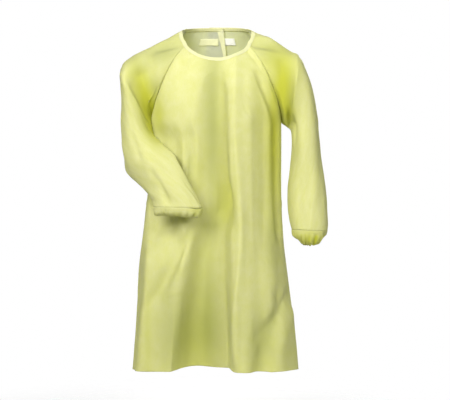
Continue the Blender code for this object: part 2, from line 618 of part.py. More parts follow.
def sampled(grid, row, column):
    """Points of a grid's triangles at broken rows and columns."""
    row, column = np.broadcast_arrays(np.asarray(row, float), np.asarray(column, float))
    i = np.clip(np.floor(row).astype(int), 0, grid.shape[0] - 2)
    j = np.clip(np.floor(column).astype(int), 0, grid.shape[1] - 2)
    u = (row - i)[..., None]
    v = (column - j)[..., None]
    first, last = grid[i, j], grid[i + 1, j + 1]
    by_row = first + u * (grid[i + 1, j] - first) + v * (last - grid[i + 1, j])
    by_column = first + v * (grid[i, j + 1] - first) + u * (last - grid[i, j + 1])
    return np.where(u > v, by_row, by_column)


def back_column(side, share):
    """The broken column of a back half at a share of a quarter turn."""
    shares = back_shares(side)
    return np.interp(share, shares, np.arange(len(shares)))


def back_row(z):
    return (z - BODY["z"][0]) / (UNDERARM_Z - BODY["z"][0]) * SKIRT_ROWS


def on_back(side, share, z, off):
    """A point off a back half's outer face, with its normal."""
    piece = "back_panel_" + side
    row, column = back_row(z), back_column(side, share)
    out = unit(sampled(normals[piece], row, column))
    lift = (CLOTH / 2 + np.asarray(off, float))[..., None]
    return sampled(grids[piece], row, column) + out * lift, out


# ---- build ----
for old in list(bpy.data.objects):
    bpy.data.objects.remove(old, do_unlink=True)
gown = bpy.data.collections.new("exam_gown")
bpy.context.scene.collection.children.link(gown)

grids = {
    "front_panel": front_panel(),
    "back_panel_left": back_half("left"),
    "back_panel_right": back_half("right"),
    "sleeve_left": sleeve_grid("left"),
    "sleeve_right": sleeve_grid("right"),
}
seam_rows = slice(SKIRT_ROWS, None)
for side, column in (("left", -1), ("right", 0)):
    beside = (("front_panel", FRONT_SEAM, 1), ("back_panel_" + side, BACK_SEAM, -1))
    for piece, columns, facing in beside:
        panel = grids[piece]
        outward = grid_normals(panel)[seam_rows, column] * facing
        open_seam(grids["sleeve_" + side], columns, panel[seam_rows, column], outward)
closed = {name: name.startswith("sleeve") for name in grids}
normals = shared_normals(grids, closed)


def build_panels():
    edges = {
        "front_panel": ("first_column", "last_column"),
        "back_panel_left": ("last_column",),
        "back_panel_right": ("first_column",),
        "sleeve_left": ("first_row",),
        "sleeve_right": ("first_row",),
    }
    for name, grid in grids.items():
        points = pulled_in(grid, edges[name], closed[name])
        wall(name, points, normals[name], CLOTH, YELLOW, closed[name])


def build_cuffs():
    for side in ("left", "right"):
        sleeve = "sleeve_" + side
        points = cuff_grid(side, grids[sleeve][-1])
        ringed = np.concatenate([points[:, -1:], points, points[:, :1]], axis=1)
        out = grid_normals(ringed)[:, 1:-1]
        seam_out = unit(round_ring(normals[sleeve][-1]))
        out *= np.sign((out[0] * seam_out).sum())
        out[0] = seam_out
        wall("cuff_" + side, points, out, CLOTH, YELLOW, True)


def neck_line(piece, columns):
    """Points of a piece's neck edge at broken columns, with the cloth's outward and downward
    directions there. On a sleeve the columns are counted from the shoulder, forwards."""
    grid, normal = grids[piece], normals[piece]
    columns = np.asarray(columns, float)
    top, step = len(grid) - 1, -1
    if closed[piece]:
        grid, normal = (np.roll(field, SLEEVE_COLUMNS // 2, axis=1) for field in (grid, normal))
        columns = columns + SLEEVE_COLUMNS // 2
        top, step = 0, 1
    edge = sampled(grid, top, columns)
    spacing = np.linalg.norm(sampled(grid, top + step, columns) - edge, axis=-1)
    low = sampled(grid, top + step * BINDING_WIDTH / spacing, columns)
    return edge, unit(sampled(normal, top, columns)), (low - edge) / BINDING_WIDTH


def neck_stations():
    """The neck's edge from the inner back half's end to the outer's, and how loose the binding is."""
    half = np.arange(BACK_COLUMNS, -1, -1)
    front = np.arange(FRONT_COLUMNS[-1][1] + 1)
    end = NECK_COLUMNS - BINDING_STEP
    shoulder = np.linspace(-end, end, round(2 * end / BINDING_STEP) + 1)
    route = (
        ("back_panel_right", half), ("sleeve_right", shoulder), ("front_panel", front),
        ("sleeve_left", shoulder[::-1]), ("back_panel_left", half),
    )
    lines = [neck_line(piece, columns) for piece, columns in route]
    edge, out, down = (np.concatenate(parts) for parts in zip(*lines))
    loose = [np.full(len(columns), BINDING_EASE if closed[piece] else 0.0) for piece, columns in route]
    loose = np.concatenate(loose)
    for turn in (NECK_CORNER_FRONT, NECK_CORNER_BACK, -NECK_CORNER_FRONT, -NECK_CORNER_BACK):
        away = np.linalg.norm(edge - neck_point(turn), axis=1) / BINDING_WIDTH
        loose = np.maximum(loose, BINDING_PUCKER * (1 - smooth(away / 2)))
    return edge, out, down, loose


def build_binding():
    edge, out, down, loose = neck_stations()
    inside = (CLOTH / 2 + BINDING_GAP + loose)[:, None]
    outside = inside + BINDING_WALL
    above = BINDING_GAP + BINDING_WALL
    profile = (
        (outside, BINDING_WIDTH), (outside, -above), (-outside, -above), (-outside, BINDING_WIDTH),
        (-inside, BINDING_WIDTH), (-inside, -BINDING_GAP), (inside, -BINDING_GAP), (inside, BINDING_WIDTH),
    )
    rows = np.stack([edge + out * n + down * d for n, d in profile], axis=1)
    count, sides = rows.shape[:2]
    faces = [
        (i * sides + j, (i + 1) * sides + j, (i + 1) * sides + (j + 1) % sides, i * sides + (j + 1) % sides)
        for i in range(count - 1) for j in range(sides)
    ]
    faces.append(tuple(range(sides)))
    faces.append(tuple(count * sides - 1 - j for j in range(sides)))
    add_mesh("neck_binding", rows.reshape(-1, 3), faces, YELLOW)


def build_tape(name, side, across, face, colour):
    """A flat tape on the outer (+1) or inner (-1) face of a back half, under the neck's edge."""
    piece = "back_panel_" + side
    grid = grids[piece]
    middle = sampled(grid, np.arange(len(grid)), back_column(side, np.mean(across)))
    below = np.cumsum(np.linalg.norm(np.diff(middle[::-1], axis=0), axis=1))
    rows = len(grid) - 1 - np.interp(TAPE_DROP, np.concatenate([[0], below]), np.arange(len(grid)))
    first, last = back_column(side, across[0]), back_column(side, across[1])
    inside = np.arange(np.ceil(first), np.floor(last) + 1)
    columns = np.unique(np.concatenate([[first], inside, [last]]))
    row_grid, column_grid = np.meshgrid(rows, columns, indexing="ij")
    out = unit(sampled(normals[piece], row_grid, column_grid))
    off = face * (CLOTH / 2 + LAY_GAP + TAPE_WALL / 2)
    wall(name, sampled(grid, row_grid, column_grid) + out * off, out, TAPE_WALL, colour)


def knot_centre():
    point, out = on_back("left", KNOT_SHARE, np.mean(TIE_Z), TIE_SLACK + KNOT_SIZE[1] / 2)
    return point


def build_tie(side):
    """A tie from its side seam round the back to the knot."""
    sign = 1 if side == "left" else -1
    knot = knot_centre()
    shares = back_shares(side)
    shares = np.sort(sign * shares)[::-1]
    shares = shares[shares > TIE_LEAVES]
    low_high = []
    for z in TIE_Z:
        walked = 1 - shares
        slack = LAY_GAP + TIE_WALL / 2 + TIE_SLACK * smooth(walked / TIE_SLACK_OVER)
        points, out = on_back(side, sign * shares, z, slack)
        if side == "right":
            over, over_out = on_back("left", -shares, z, slack)
            start, end = TIE_STEP_OVER
            share = smooth((-shares - start) / (end - start))[:, None]
            points, out = mix(points, over, share), unit(mix(out, over_out, share))
        low_high.append((points, out))
    points = np.stack([pair[0] for pair in low_high])
    out = np.stack([pair[1] for pair in low_high])
    end = knot + np.array([sign * (KNOT_SIZE[0] / 2 + LAY_GAP), 0, 0])
    last = np.array([[end + [0, 0, z - knot[2]]] for z in TIE_Z])
    before = mix(points[:, -1:], last, TIE_BEND) - TIE_BOW * BACKWARDS
    points = np.concatenate([points, before, last], axis=1)
    out = np.concatenate([out, np.tile(BACKWARDS, (2, 2, 1))], axis=1)
    wall("waist_tie_" + side, points, out, TIE_WALL, YELLOW)


def build_knot():
    mesh = bpy.data.meshes.new("waist_knot")
    shape = bmesh.new()
    bmesh.ops.create_cube(shape, size=1.0)
    bmesh.ops.scale(shape, vec=KNOT_SIZE, verts=shape.verts)
    bmesh.ops.bevel(shape, geom=shape.edges[:], offset=KNOT_BEVEL, segments=2, affect="EDGES", profile=0.5)
    shape.to_mesh(mesh)
    shape.free()
    add_object(mesh, YELLOW).location = knot_centre()


def build_tails():
    knot = knot_centre()
    top = knot[2] - KNOT_SIZE[2] / 2 - LAY_GAP
    for side, row in zip(("left", "right"), zip(*TAILS.values())):
        length, start, end, off_start, off_end = row
        t = np.linspace(0, 1, TAIL_STEPS + 1)
        z = top - length * t
        off = mix(off_start, off_end, smooth(t / TAIL_SETTLES))
        centre, out = on_back("left", mix(start, end, t), z, off)
        centre[:, 2] = z
        along = np.gradient(centre, axis=0)
        width = TAIL_WIDTH * mix(TAIL_PINCH, 1.0, smooth(t / TAIL_WIDENS))
        across = unit(np.cross(out, along)) * width[:, None] / 2
        points = np.stack([centre - across, centre + across], axis=1)
        points[0, :, 2] = top
        normal = np.repeat(out[:, None], 2, axis=1)
        normal[0] = BACKWARDS
        wall("tie_tail_" + side, points, normal, TIE_WALL, YELLOW)


build_panels()
build_cuffs()
build_binding()
build_tape("hook_tape", "left", HOOK_ACROSS, -1, WHITE)
build_tape("loop_tape", "right", LOOP_ACROSS, 1, PALE_YELLOW)
build_tie("left")
build_tie("right")
build_knot()
build_tails()
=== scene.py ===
# Exam gown of thin yellow nonwoven cloth, worn and hollow. Metres, +Z up, the front faces -Y,
# left and right are the wearer's, so left is +X.
from math import pi, radians

import bmesh
import bpy
import numpy as np
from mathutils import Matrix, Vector
from mathutils.kdtree import KDTree


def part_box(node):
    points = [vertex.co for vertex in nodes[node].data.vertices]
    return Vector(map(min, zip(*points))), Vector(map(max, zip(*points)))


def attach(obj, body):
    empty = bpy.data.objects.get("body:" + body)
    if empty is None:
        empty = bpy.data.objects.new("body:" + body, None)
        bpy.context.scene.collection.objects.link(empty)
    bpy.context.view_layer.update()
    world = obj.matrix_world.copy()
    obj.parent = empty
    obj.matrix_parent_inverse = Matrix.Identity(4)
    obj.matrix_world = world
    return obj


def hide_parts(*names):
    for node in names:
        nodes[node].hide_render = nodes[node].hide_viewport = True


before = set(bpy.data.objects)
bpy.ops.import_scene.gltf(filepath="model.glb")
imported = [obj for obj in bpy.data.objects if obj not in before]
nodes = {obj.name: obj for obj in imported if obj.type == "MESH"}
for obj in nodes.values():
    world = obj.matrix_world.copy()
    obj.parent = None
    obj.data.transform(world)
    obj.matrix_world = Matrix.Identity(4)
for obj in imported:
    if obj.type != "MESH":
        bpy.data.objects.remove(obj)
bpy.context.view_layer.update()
scene = bpy.context.scene
mm = 0.001                    # the tables of creases, painted shade and nudges are in millimetres
print("frame loaded:", len(nodes), "solids")

# The camera looks from the photo's side and height. Its width in metres at the gown is known
# from the gown's size, so the lens follows from it.
view = {
    "place": (0.0, -3.6, -0.45),
    "aim": (0.027, 0.0, -0.568),
    "metresPerPixel": 0.00338,
    "imageWidth": 450,
    "sensor": 36.0,
}


def placed(name, data):
    made = bpy.data.objects.new(name, data)
    scene.collection.objects.link(made)
    return made


def aimed(thing, place, aim):
    thing.location = place
    thing.rotation_euler = (Vector(aim) - Vector(place)).to_track_quat("-Z", "Y").to_euler()


def addCamera():
    data = bpy.data.cameras.new("camera")
    data.sensor_width = view["sensor"]
    data.lens = view["sensor"] * -view["place"][1] / (view["imageWidth"] * view["metresPerPixel"])
    camera = placed("camera", data)
    aimed(camera, view["place"], view["aim"])
    scene.camera = camera


def newMaterial(name):
    made = bpy.data.materials.new(name)
    made.use_nodes = True
    return made, made.node_tree, made.node_tree.nodes["Principled BSDF"]


def nodeGroup(name, inputs, outputs):
    group = bpy.data.node_groups.new(name, "ShaderNodeTree")
    kinds = {"vector": "NodeSocketVector", "colour": "NodeSocketColor", "number": "NodeSocketFloat"}
    for direction, sockets in (("INPUT", inputs), ("OUTPUT", outputs)):
        for label, kind in sockets:
            group.interface.new_socket(label, in_out=direction, socket_type=kinds[kind])
    return group, group.nodes.new("NodeGroupInput"), group.nodes.new("NodeGroupOutput")


def mathNode(tree, operation, a, b=None):
    node = tree.nodes.new("ShaderNodeMath")
    node.operation = operation
    for socket, value in zip(node.inputs, (a, b)):
        if isinstance(value, (int, float)):
            socket.default_value = value
        elif value is not None:
            tree.links.new(value, socket)
    return node.outputs[0]


def noiseNode(tree, vector, scale, detail, stretch=(1.0, 1.0, 1.0), distortion=0.0):
    mapping, noise = tree.nodes.new("ShaderNodeMapping"), tree.nodes.new("ShaderNodeTexNoise")
    mapping.inputs["Scale"].default_value = stretch
    for label, number in (("Scale", scale), ("Detail", detail), ("Distortion", distortion)):
        noise.inputs[label].default_value = number
    tree.links.new(vector, mapping.inputs["Vector"])
    tree.links.new(mapping.outputs["Vector"], noise.inputs["Vector"])
    return noise.outputs["Fac"]


def ramp(tree, value, low, high, start, end, shape="LINEAR"):
    node = tree.nodes.new("ShaderNodeMapRange")
    node.interpolation_type = shape
    for label, number in (("From Min", low), ("From Max", high), ("To Min", start), ("To Max", end)):
        node.inputs[label].default_value = number
    tree.links.new(value, node.inputs["Value"])
    return node.outputs["Result"]


def mixColour(tree, share, a, b):
    node = tree.nodes.new("ShaderNodeMix")
    node.data_type = "RGBA"
    sockets = [s for s in node.inputs if s.enabled and s.type == "RGBA"]
    factor = next(s for s in node.inputs if s.enabled and s.type == "VALUE")
    tree.links.new(share, factor)
    for socket, value in zip(sockets, (a, b)):
        if isinstance(value, tuple):
            socket.default_value = (*value, 1.0)
        else:
            tree.links.new(value, socket)
    return next(s for s in node.outputs if s.enabled)


# Soft studio light: a key from above the viewer's left shoulder that falls off towards the hem, a
# weaker lamp at the right, an overhead panel and a strong panel behind that shines through the cloth.
studio = {
    "floorZ": -1.474,
    "floorRadius": 2.6,
    "floorSides": 96,
    "floorRoughness": 0.9,
    "floorFade": (0.6, 1.6),  # distances from the middle over which the floor fades into the white
    "floorColour": (0.92, 0.92, 0.92),
    "seenWhite": 1.0,
    "ambient": 0.19,
    # name: place, aim, size, power, colour, spread in degrees
    "key": ((-1.3, -3.0, 1.25), (0.0, 0.0, 0.05), 2.0, 28.6, (1.0, 0.985, 0.97), 70),
    "right": ((1.7, -2.6, 0.7), (0.2, 0.0, -0.3), 1.2, 41.0, (1.0, 0.99, 0.98), 180),
    "top": ((0.1, -0.1, 1.7), (0.0, 0.0, -0.1), 0.8, 5.0, (0.94, 0.98, 1.0), 180),
    "behind": ((0.6, 2.6, 0.5), (0.0, 0.0, -0.4), 1.8, 70.0, (1.0, 1.0, 1.0), 180),
}


def addFloor():
    bpy.ops.mesh.primitive_circle_add(
        vertices=studio["floorSides"], radius=studio["floorRadius"], fill_type="NGON",
        location=(0, 0, studio["floorZ"]),
    )
    floor = bpy.context.object
    floor.name = "floor"
    paper, tree, shader = newMaterial("floorPaper")
    shader.inputs["Base Color"].default_value = (*studio["floorColour"], 1.0)
    shader.inputs["Roughness"].default_value = studio["floorRoughness"]
    place, length = tree.nodes.new("ShaderNodeTexCoord"), tree.nodes.new("ShaderNodeVectorMath")
    length.operation = "LENGTH"
    tree.links.new(place.outputs["Object"], length.inputs[0])
    fade = ramp(tree, length.outputs["Value"], *studio["floorFade"], 1.0, 0.0, "SMOOTHSTEP")
    tree.links.new(fade, shader.inputs["Alpha"])
    floor.data.materials.append(paper)


def addLights():
    for name in ("key", "right", "top", "behind"):
        place, aim, size, power, colour, spread = studio[name]
        data = bpy.data.lights.new(name, "AREA")
        data.shape = "SQUARE"
        data.size = size
        data.energy = power
        data.color = colour
        data.spread = radians(spread)
        aimed(placed(name, data), place, aim)


def addWorld():   # white where the camera looks past the gown, and dim as a light
    world = bpy.data.worlds.new("studio")
    scene.world = world
    world.use_nodes = True
    tree = world.node_tree
    tree.nodes.clear()
    path = tree.nodes.new("ShaderNodeLightPath")
    mix = tree.nodes.new("ShaderNodeMixShader")
    out = tree.nodes.new("ShaderNodeOutputWorld")
    tree.links.new(path.outputs["Is Camera Ray"], mix.inputs["Fac"])
    for entry, strength in ((1, studio["ambient"]), (2, studio["seenWhite"])):
        light = tree.nodes.new("ShaderNodeBackground")
        light.inputs["Color"].default_value = (1.0, 1.0, 1.0, 1.0)
        light.inputs["Strength"].default_value = strength
        tree.links.new(light.outputs[0], mix.inputs[entry])
    tree.links.new(mix.outputs[0], out.inputs["Surface"])
    scene.view_settings.view_transform = "Standard"


addCamera()
addFloor()
addLights()
addWorld()
print("camera, floor and lights placed")

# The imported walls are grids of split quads. They are read back as rows and columns of points.
wallSizes = {"cloth": 0.0016, "tape": 0.0012, "slack": 3e-6}
neckSide = {"left": (0.1165, 0.0, 0.0), "right": (-0.1165, 0.0, 0.0)}


def smooth(x):
    x = np.clip(x, 0.0, 1.0)
    return x * x * (3.0 - 2.0 * x)


def unit(v):
    return v / np.maximum(np.linalg.norm(v, axis=-1, keepdims=True), 1e-12)


def mergedCopy(nodeName):
    bm = bmesh.new()
    bm.from_mesh(nodes[nodeName].data)
    bmesh.ops.remove_doubles(bm, verts=bm.verts, dist=1e-5)
    return bm


def islands(faces):
    left, found = set(faces), []
    while left:
        todo, island = [left.pop()], []
        while todo:
            face = todo.pop()
            island.append(face)
            for edge in face.edges:
                for other in edge.link_faces:
                    if other in left:
                        left.remove(other)
                        todo.append(other)
        found.append(island)
    return found


def boundaryLoops(faces):
    inside, ahead = set(faces), {}
    for face in faces:
        for loop in face.loops:
            if sum(other in inside for other in loop.edge.link_faces) == 1:
                ahead[loop.vert] = loop.link_loop_next.vert
    loops = []
    while ahead:
        loop, at = [], next(iter(ahead))
        while at in ahead:
            loop.append(at)
            at = ahead.pop(at)
        loops.append(loop)
    return loops


def alongEdges(verts, start):
    left, row = set(verts) - {start}, [start]
    while left:
        row.append(next(v for edge in row[-1].link_edges if (v := edge.other_vert(row[-1])) in left))
        left.discard(row[-1])
    return row


def spacing(rowA, rowB):
    return sum((a.co - b.co).length for a, b in zip(rowA, rowB))


def walkRows(faces):
    loops, inside = boundaryLoops(faces), set(faces)
    verts = {v for face in faces for v in face.verts}
    closed = len(loops) == 2
    row = loops[0]
    if not closed:
        corners = [k for k, v in enumerate(row) if sum(f in inside for f in v.link_faces) < 3]
        row = (row + row)[corners[0]: corners[1] + 1]
    rows, left = [row], verts - set(row)
    while left:
        near = {v for a in row for e in a.link_edges if (v := e.other_vert(a)) in left}
        left -= near
        if closed:
            starts = [v for e in row[0].link_edges if (v := e.other_vert(row[0])) in near]
        else:
            starts = [v for v in near if sum(e.other_vert(v) in near for e in v.link_edges) == 1]
        tries = [alongEdges(near, start) for start in starts]
        tries += [[t[0]] + t[:0:-1] for t in tries if closed]
        row = min(tries, key=lambda t: spacing(t, rows[-1]))
        rows.append(row)
    return np.array([[v.co[:] for v in row] for row in rows])


def facingOut(faces):   # how far the faces look away from the gown's upright axis
    total = 0.0
    for face in faces:
        away = face.calc_center_median()
        away.z = 0.0
        total += face.normal.dot(away) * face.calc_area()
    return total


def wallFace(nodeName, thickness, outer=facingOut):   # the outer face of a packed wall
    bm = mergedCopy(nodeName)
    rim = set()
    for edge in bm.edges:
        if abs(edge.calc_length() - thickness) < wallSizes["slack"]:
            rim.update(edge.link_faces)
    sides = islands([face for face in bm.faces if face not in rim])
    points = walkRows(max(sides, key=outer))
    bm.free()
    return points


def panelGrid(name, thickness=wallSizes["cloth"]):   # rows upwards, columns towards +X
    points = wallFace(name, thickness)
    rises = [np.abs(np.diff(points[..., 2], axis=axis)).mean() for axis in (0, 1)]
    if rises[0] < rises[1]:
        points = points.transpose(1, 0, 2)
    if points[0, :, 2].mean() > points[-1, :, 2].mean():
        points = points[::-1]
    if points[:, 0, 0].mean() > points[:, -1, 0].mean():
        points = points[:, ::-1]
    return points


def tubeGrid(name, start):   # rings downwards, columns round from the start by the front
    points = wallFace(name, wallSizes["cloth"], lambda side: sum(face.calc_area() for face in side))
    if points[0, :, 2].mean() < points[-1, :, 2].mean():
        points = points[::-1]
    first = np.argmin(np.linalg.norm(points[0] - np.array(start), axis=1))
    points = np.roll(points, -first, axis=1)
    quarter = points.shape[1] // 4
    if points[0, quarter, 1] > points[0, -quarter, 1]:
        points = np.roll(points[:, ::-1], 1, axis=1)
    return points


walls = {name: panelGrid(name) for name in ("front_panel", "back_panel_left", "back_panel_right")}
for side in ("left", "right"):
    walls["sleeve_" + side] = tubeGrid("sleeve_" + side, neckSide[side])
    walls["cuff_" + side] = tubeGrid("cuff_" + side, walls["sleeve_" + side][-1, 0])
print("walls read:", {name: grid.shape[:2] for name, grid in walls.items()})

# Every panel is laid out again on a finer grid with smooth curves through the wall's points.
cloth = {
    "panelStep": 0.0047,
    "sleeveStep": 0.0056,
    "cuffStep": 0.0026,
    "thickness": 0.0005,
    "underarmRow": 14,        # row of the panels where the side seam ends and the raglan seam starts
    "neckRow": 23,
    "neckColumns": 2,         # sleeve columns between the shoulder and the raglan seams
    "underarmColumn": 11,
    "seamMatch": 0.035,       # over how far a panel's edge is eased onto the shared seam
    "cuffMatch": 0.012,
    "seamDip": -0.0004,       # how deep a seam is drawn in (below 0 it is raised), and its reach
    "seamDipReach": 0.0075,
    "seamPucker": 0.0003,
    "puckerWaves": (410.0, 63.0, 97.0),   # radians a metre: fine, their drift, and how their height changes
    "seamFill": 0.0085,       # how far the hollow between chest and sleeve is filled out, and its reach
    "seamFillReach": 0.028,
    "seamFilled": (0.4, 0.7),             # shares of a raglan seam between which it is filled in full
    "creaseStandOff": 0.022,  # creases fade out over this distance from a seam
}


def smoothRows(points, knots, at):   # values at places along the first axis, on one smooth curve
    slope = np.gradient(points, knots, axis=0)
    i = np.clip(np.searchsorted(knots, at, side="right") - 1, 0, len(knots) - 2)
    shape = (-1,) + (1,) * (points.ndim - 1)
    span = (knots[i + 1] - knots[i]).reshape(shape)
    t = ((at - knots[i]) / (knots[i + 1] - knots[i])).reshape(shape)
    return (
        (1 + 2 * t) * (1 - t) ** 2 * points[i]
        + t * (1 - t) ** 2 * span * slope[i]
        + t * t * (3 - 2 * t) * points[i + 1]
        + t * t * (t - 1) * span * slope[i + 1]
    )


def knotsOf(points):   # mean distances between the rows, added up
    gaps = np.linalg.norm(np.diff(points, axis=0), axis=-1)
    return np.concatenate([[0.0], np.cumsum(gaps.reshape(len(gaps), -1).mean(axis=1))])


def placesBetween(knots, step):
    parts = [
        np.linspace(a, b, max(1, round((b - a) / step)), endpoint=False)
        for a, b in zip(knots, knots[1:])
    ]
    return np.append(np.concatenate(parts), knots[-1])


def finer(points, step, closed):   # a finer grid, with the wall's row and column at each line of it
    knots = knotsOf(points)
    at = placesBetween(knots, step)
    rowsAt = np.interp(at, knots, np.arange(len(knots)))
    points = smoothRows(points, knots, at).transpose(1, 0, 2)
    count = len(points)
    if closed:
        wrap = 3
        padded = np.concatenate([points[-wrap:], points, points[:wrap + 1]])
        knots = knotsOf(padded)
        at = placesBetween(knots[wrap: wrap + count + 1], step)[:-1]
        columnsAt = np.interp(at, knots, np.arange(len(knots)) - wrap)
        points = smoothRows(padded, knots, at)
    else:
        knots = knotsOf(points)
        at = placesBetween(knots, step)
        columnsAt = np.interp(at, knots, np.arange(count))
        points = smoothRows(points, knots, at)
    return points.transpose(1, 0, 2).copy(), rowsAt, columnsAt


def gridNormals(points, closed, outwards):
    wide = np.concatenate([points[:, -1:], points, points[:, :1]], axis=1) if closed else points
    normals = unit(np.cross(np.gradient(wide, axis=1), np.gradient(wide, axis=0)))
    return (normals[:, 1:-1] if closed else normals) * outwards


def outwardSign(points, closed):   # which way round the grid's own normals look out
    normals = gridNormals(points, closed, 1.0)
    middle = points.mean(axis=1, keepdims=True) if closed else points * np.array([0.0, 0.0, 1.0])
    return np.sign((normals * (points - middle)).sum())


signs = {name: outwardSign(grid, "panel" not in name) for name, grid in walls.items()}
wallNormals = {name: gridNormals(grid, "panel" not in name, signs[name]) for name, grid in walls.items()}


def seamValues(fields, side, kind):   # the two panels' values along a seam they share, averaged
    edge = -1 if side == "left" else 0
    front, back = fields["front_panel"][:, edge], fields["back_panel_" + side][:, edge]
    ring, top, arm = fields["sleeve_" + side][0], cloth["underarmRow"], cloth["underarmColumn"]
    if kind == "side":
        values = (front[: top + 1] + back[: top + 1]) / 2
        values[-1] = (front[top] + back[top] + ring[arm]) / 3
        return values
    panel, other = (front, back) if kind == "front" else (back, front)
    reach = cloth["neckRow"] - top
    sleeve = ring[arm::-1][: reach + 1] if kind == "front" else ring[arm: arm + reach + 1]
    values = (panel[top:] + sleeve) / 2
    values[0] = (panel[top] + other[top] + sleeve[0]) / 3
    return values


def seamLine(side, kind, at):   # the seam's points, dip and fill at broken rows from its start
    points = seamValues(walls, side, kind)
    normals = seamValues(wallNormals, side, kind)
    knots = knotsOf(points)
    places = np.interp(at, np.arange(len(knots)), knots)
    fine, drift, slow = cloth["puckerWaves"]
    pucker = np.sin(places * fine + 2.0 * np.sin(places * drift)) * np.sin(places * slow + 1.0)
    dip = cloth["seamDip"] + cloth["seamPucker"] * pucker
    out = unit(smoothRows(normals, knots, places))
    run = places / knots[-1]
    start, end = cloth["seamFilled"]
    most = 0.0 if kind == "side" else cloth["seamFill"]
    fill = most * smooth(run / start) * (1 - smooth((run - end) / (1 - end)))
    return smoothRows(points, knots, places), -out * dip[:, None], out * fill[:, None]


def easedOnto(points, distance, edge, target, dip, fill):
    # the edge is moved onto the seam, with the cloth beside it
    match = (1 - smooth(distance / cloth["seamMatch"]))[..., None]
    drawn = np.exp(-(distance / cloth["seamDipReach"]) ** 2)[..., None]
    filled = np.exp(-(distance / cloth["seamFillReach"]) ** 2)[..., None]
    return points + (target - edge) * match + dip * drawn + fill * filled


def downDistance(points):   # distance along each column from its first point
    return np.cumsum(np.linalg.norm(np.diff(points, axis=0, prepend=points[:1]), axis=-1), axis=0)


def acrossDistance(points, start):   # distance along each row from its first or last point
    gaps = np.linalg.norm(np.diff(points, axis=1), axis=-1)
    walked = np.concatenate([np.zeros((len(points), 1)), np.cumsum(gaps, axis=1)], axis=1)
    return walked if start else walked[:, -1:] - walked


def laidOut(points, closed, columnsAt, clear):
    return {"points": points, "closed": closed, "columnsAt": columnsAt, "clear": clear}


def sewnPanel(name):   # a panel's fine grid on its seams, with the distance of each point from a seam
    points, rowsAt, columnsAt = finer(walls[name], cloth["panelStep"], False)
    top = cloth["underarmRow"]
    front = name == "front_panel"
    clear = np.full(points.shape[:2], 1.0)
    made = points
    for side in ("left", "right") if front else (name.split("_")[-1],):
        low = seamLine(side, "side", np.minimum(rowsAt, top))
        high = seamLine(side, "front" if front else "back", np.maximum(rowsAt - top, 0))
        above = (rowsAt > top)[:, None]
        target, dip, fill = (np.where(above, b, a)[:, None] for a, b in zip(low, high))
        distance = acrossDistance(points, side == "right")
        edge = points[:, -1:] if side == "left" else points[:, :1]
        made = easedOnto(made, distance, edge, target, dip, fill)
        clear = np.minimum(clear, distance)
    return laidOut(made, False, columnsAt, clear)


def sewnSleeve(side):
    points, _, columnsAt = finer(walls["sleeve_" + side], cloth["sleeveStep"], True)
    arm, neck = cloth["underarmColumn"], cloth["neckColumns"]
    front = seamLine(side, "front", np.clip(arm - columnsAt, 0, arm - neck))
    back = seamLine(side, "back", np.clip(columnsAt - arm, 0, arm - neck))
    before = (columnsAt < arm)[:, None]
    target, dip, fill = (np.where(before, a, b) for a, b in zip(front, back))
    fromSeam = np.minimum(columnsAt, 2 * arm - columnsAt)   # 0 at the shoulder, rising both ways
    sewn = np.flatnonzero(fromSeam >= neck)
    shift = target - points[0]
    for column in np.flatnonzero(fromSeam < neck):
        corner = sewn[0] if columnsAt[column] < arm else sewn[-1]
        shift[column] = shift[corner] * smooth(fromSeam[column] / neck)
        dip[column] = 0
    distance = downDistance(points)
    made = easedOnto(points, distance, points[:1], points[:1] + shift[None], dip[None], fill[None])
    return laidOut(made, True, columnsAt, np.minimum(distance, distance[-1:] - distance))


def sewnCuff(side):
    points, _, columnsAt = finer(walls["cuff_" + side], cloth["cuffStep"], True)
    sleeve, whole = pieces["sleeve_" + side], walls["sleeve_" + side].shape[1]
    share = columnsAt / walls["cuff_" + side].shape[1] * whole
    target = np.stack([
        np.interp(share, sleeve["columnsAt"], sleeve["points"][-1, :, axis], period=whole)
        for axis in range(3)
    ], axis=-1)
    distance = downDistance(points)
    match = (1 - smooth(distance / cloth["cuffMatch"]))[..., None]
    return laidOut(points + (target - points[0])[None] * match, True, columnsAt, distance)


pieces = {name: sewnPanel(name) for name in ("front_panel", "back_panel_left", "back_panel_right")}
for side in ("left", "right"):
    pieces["sleeve_" + side] = sewnSleeve(side)
    pieces["cuff_" + side] = sewnCuff(side)
print("panels laid out:", {name: piece["points"].shape[:2] for name, piece in pieces.items()})
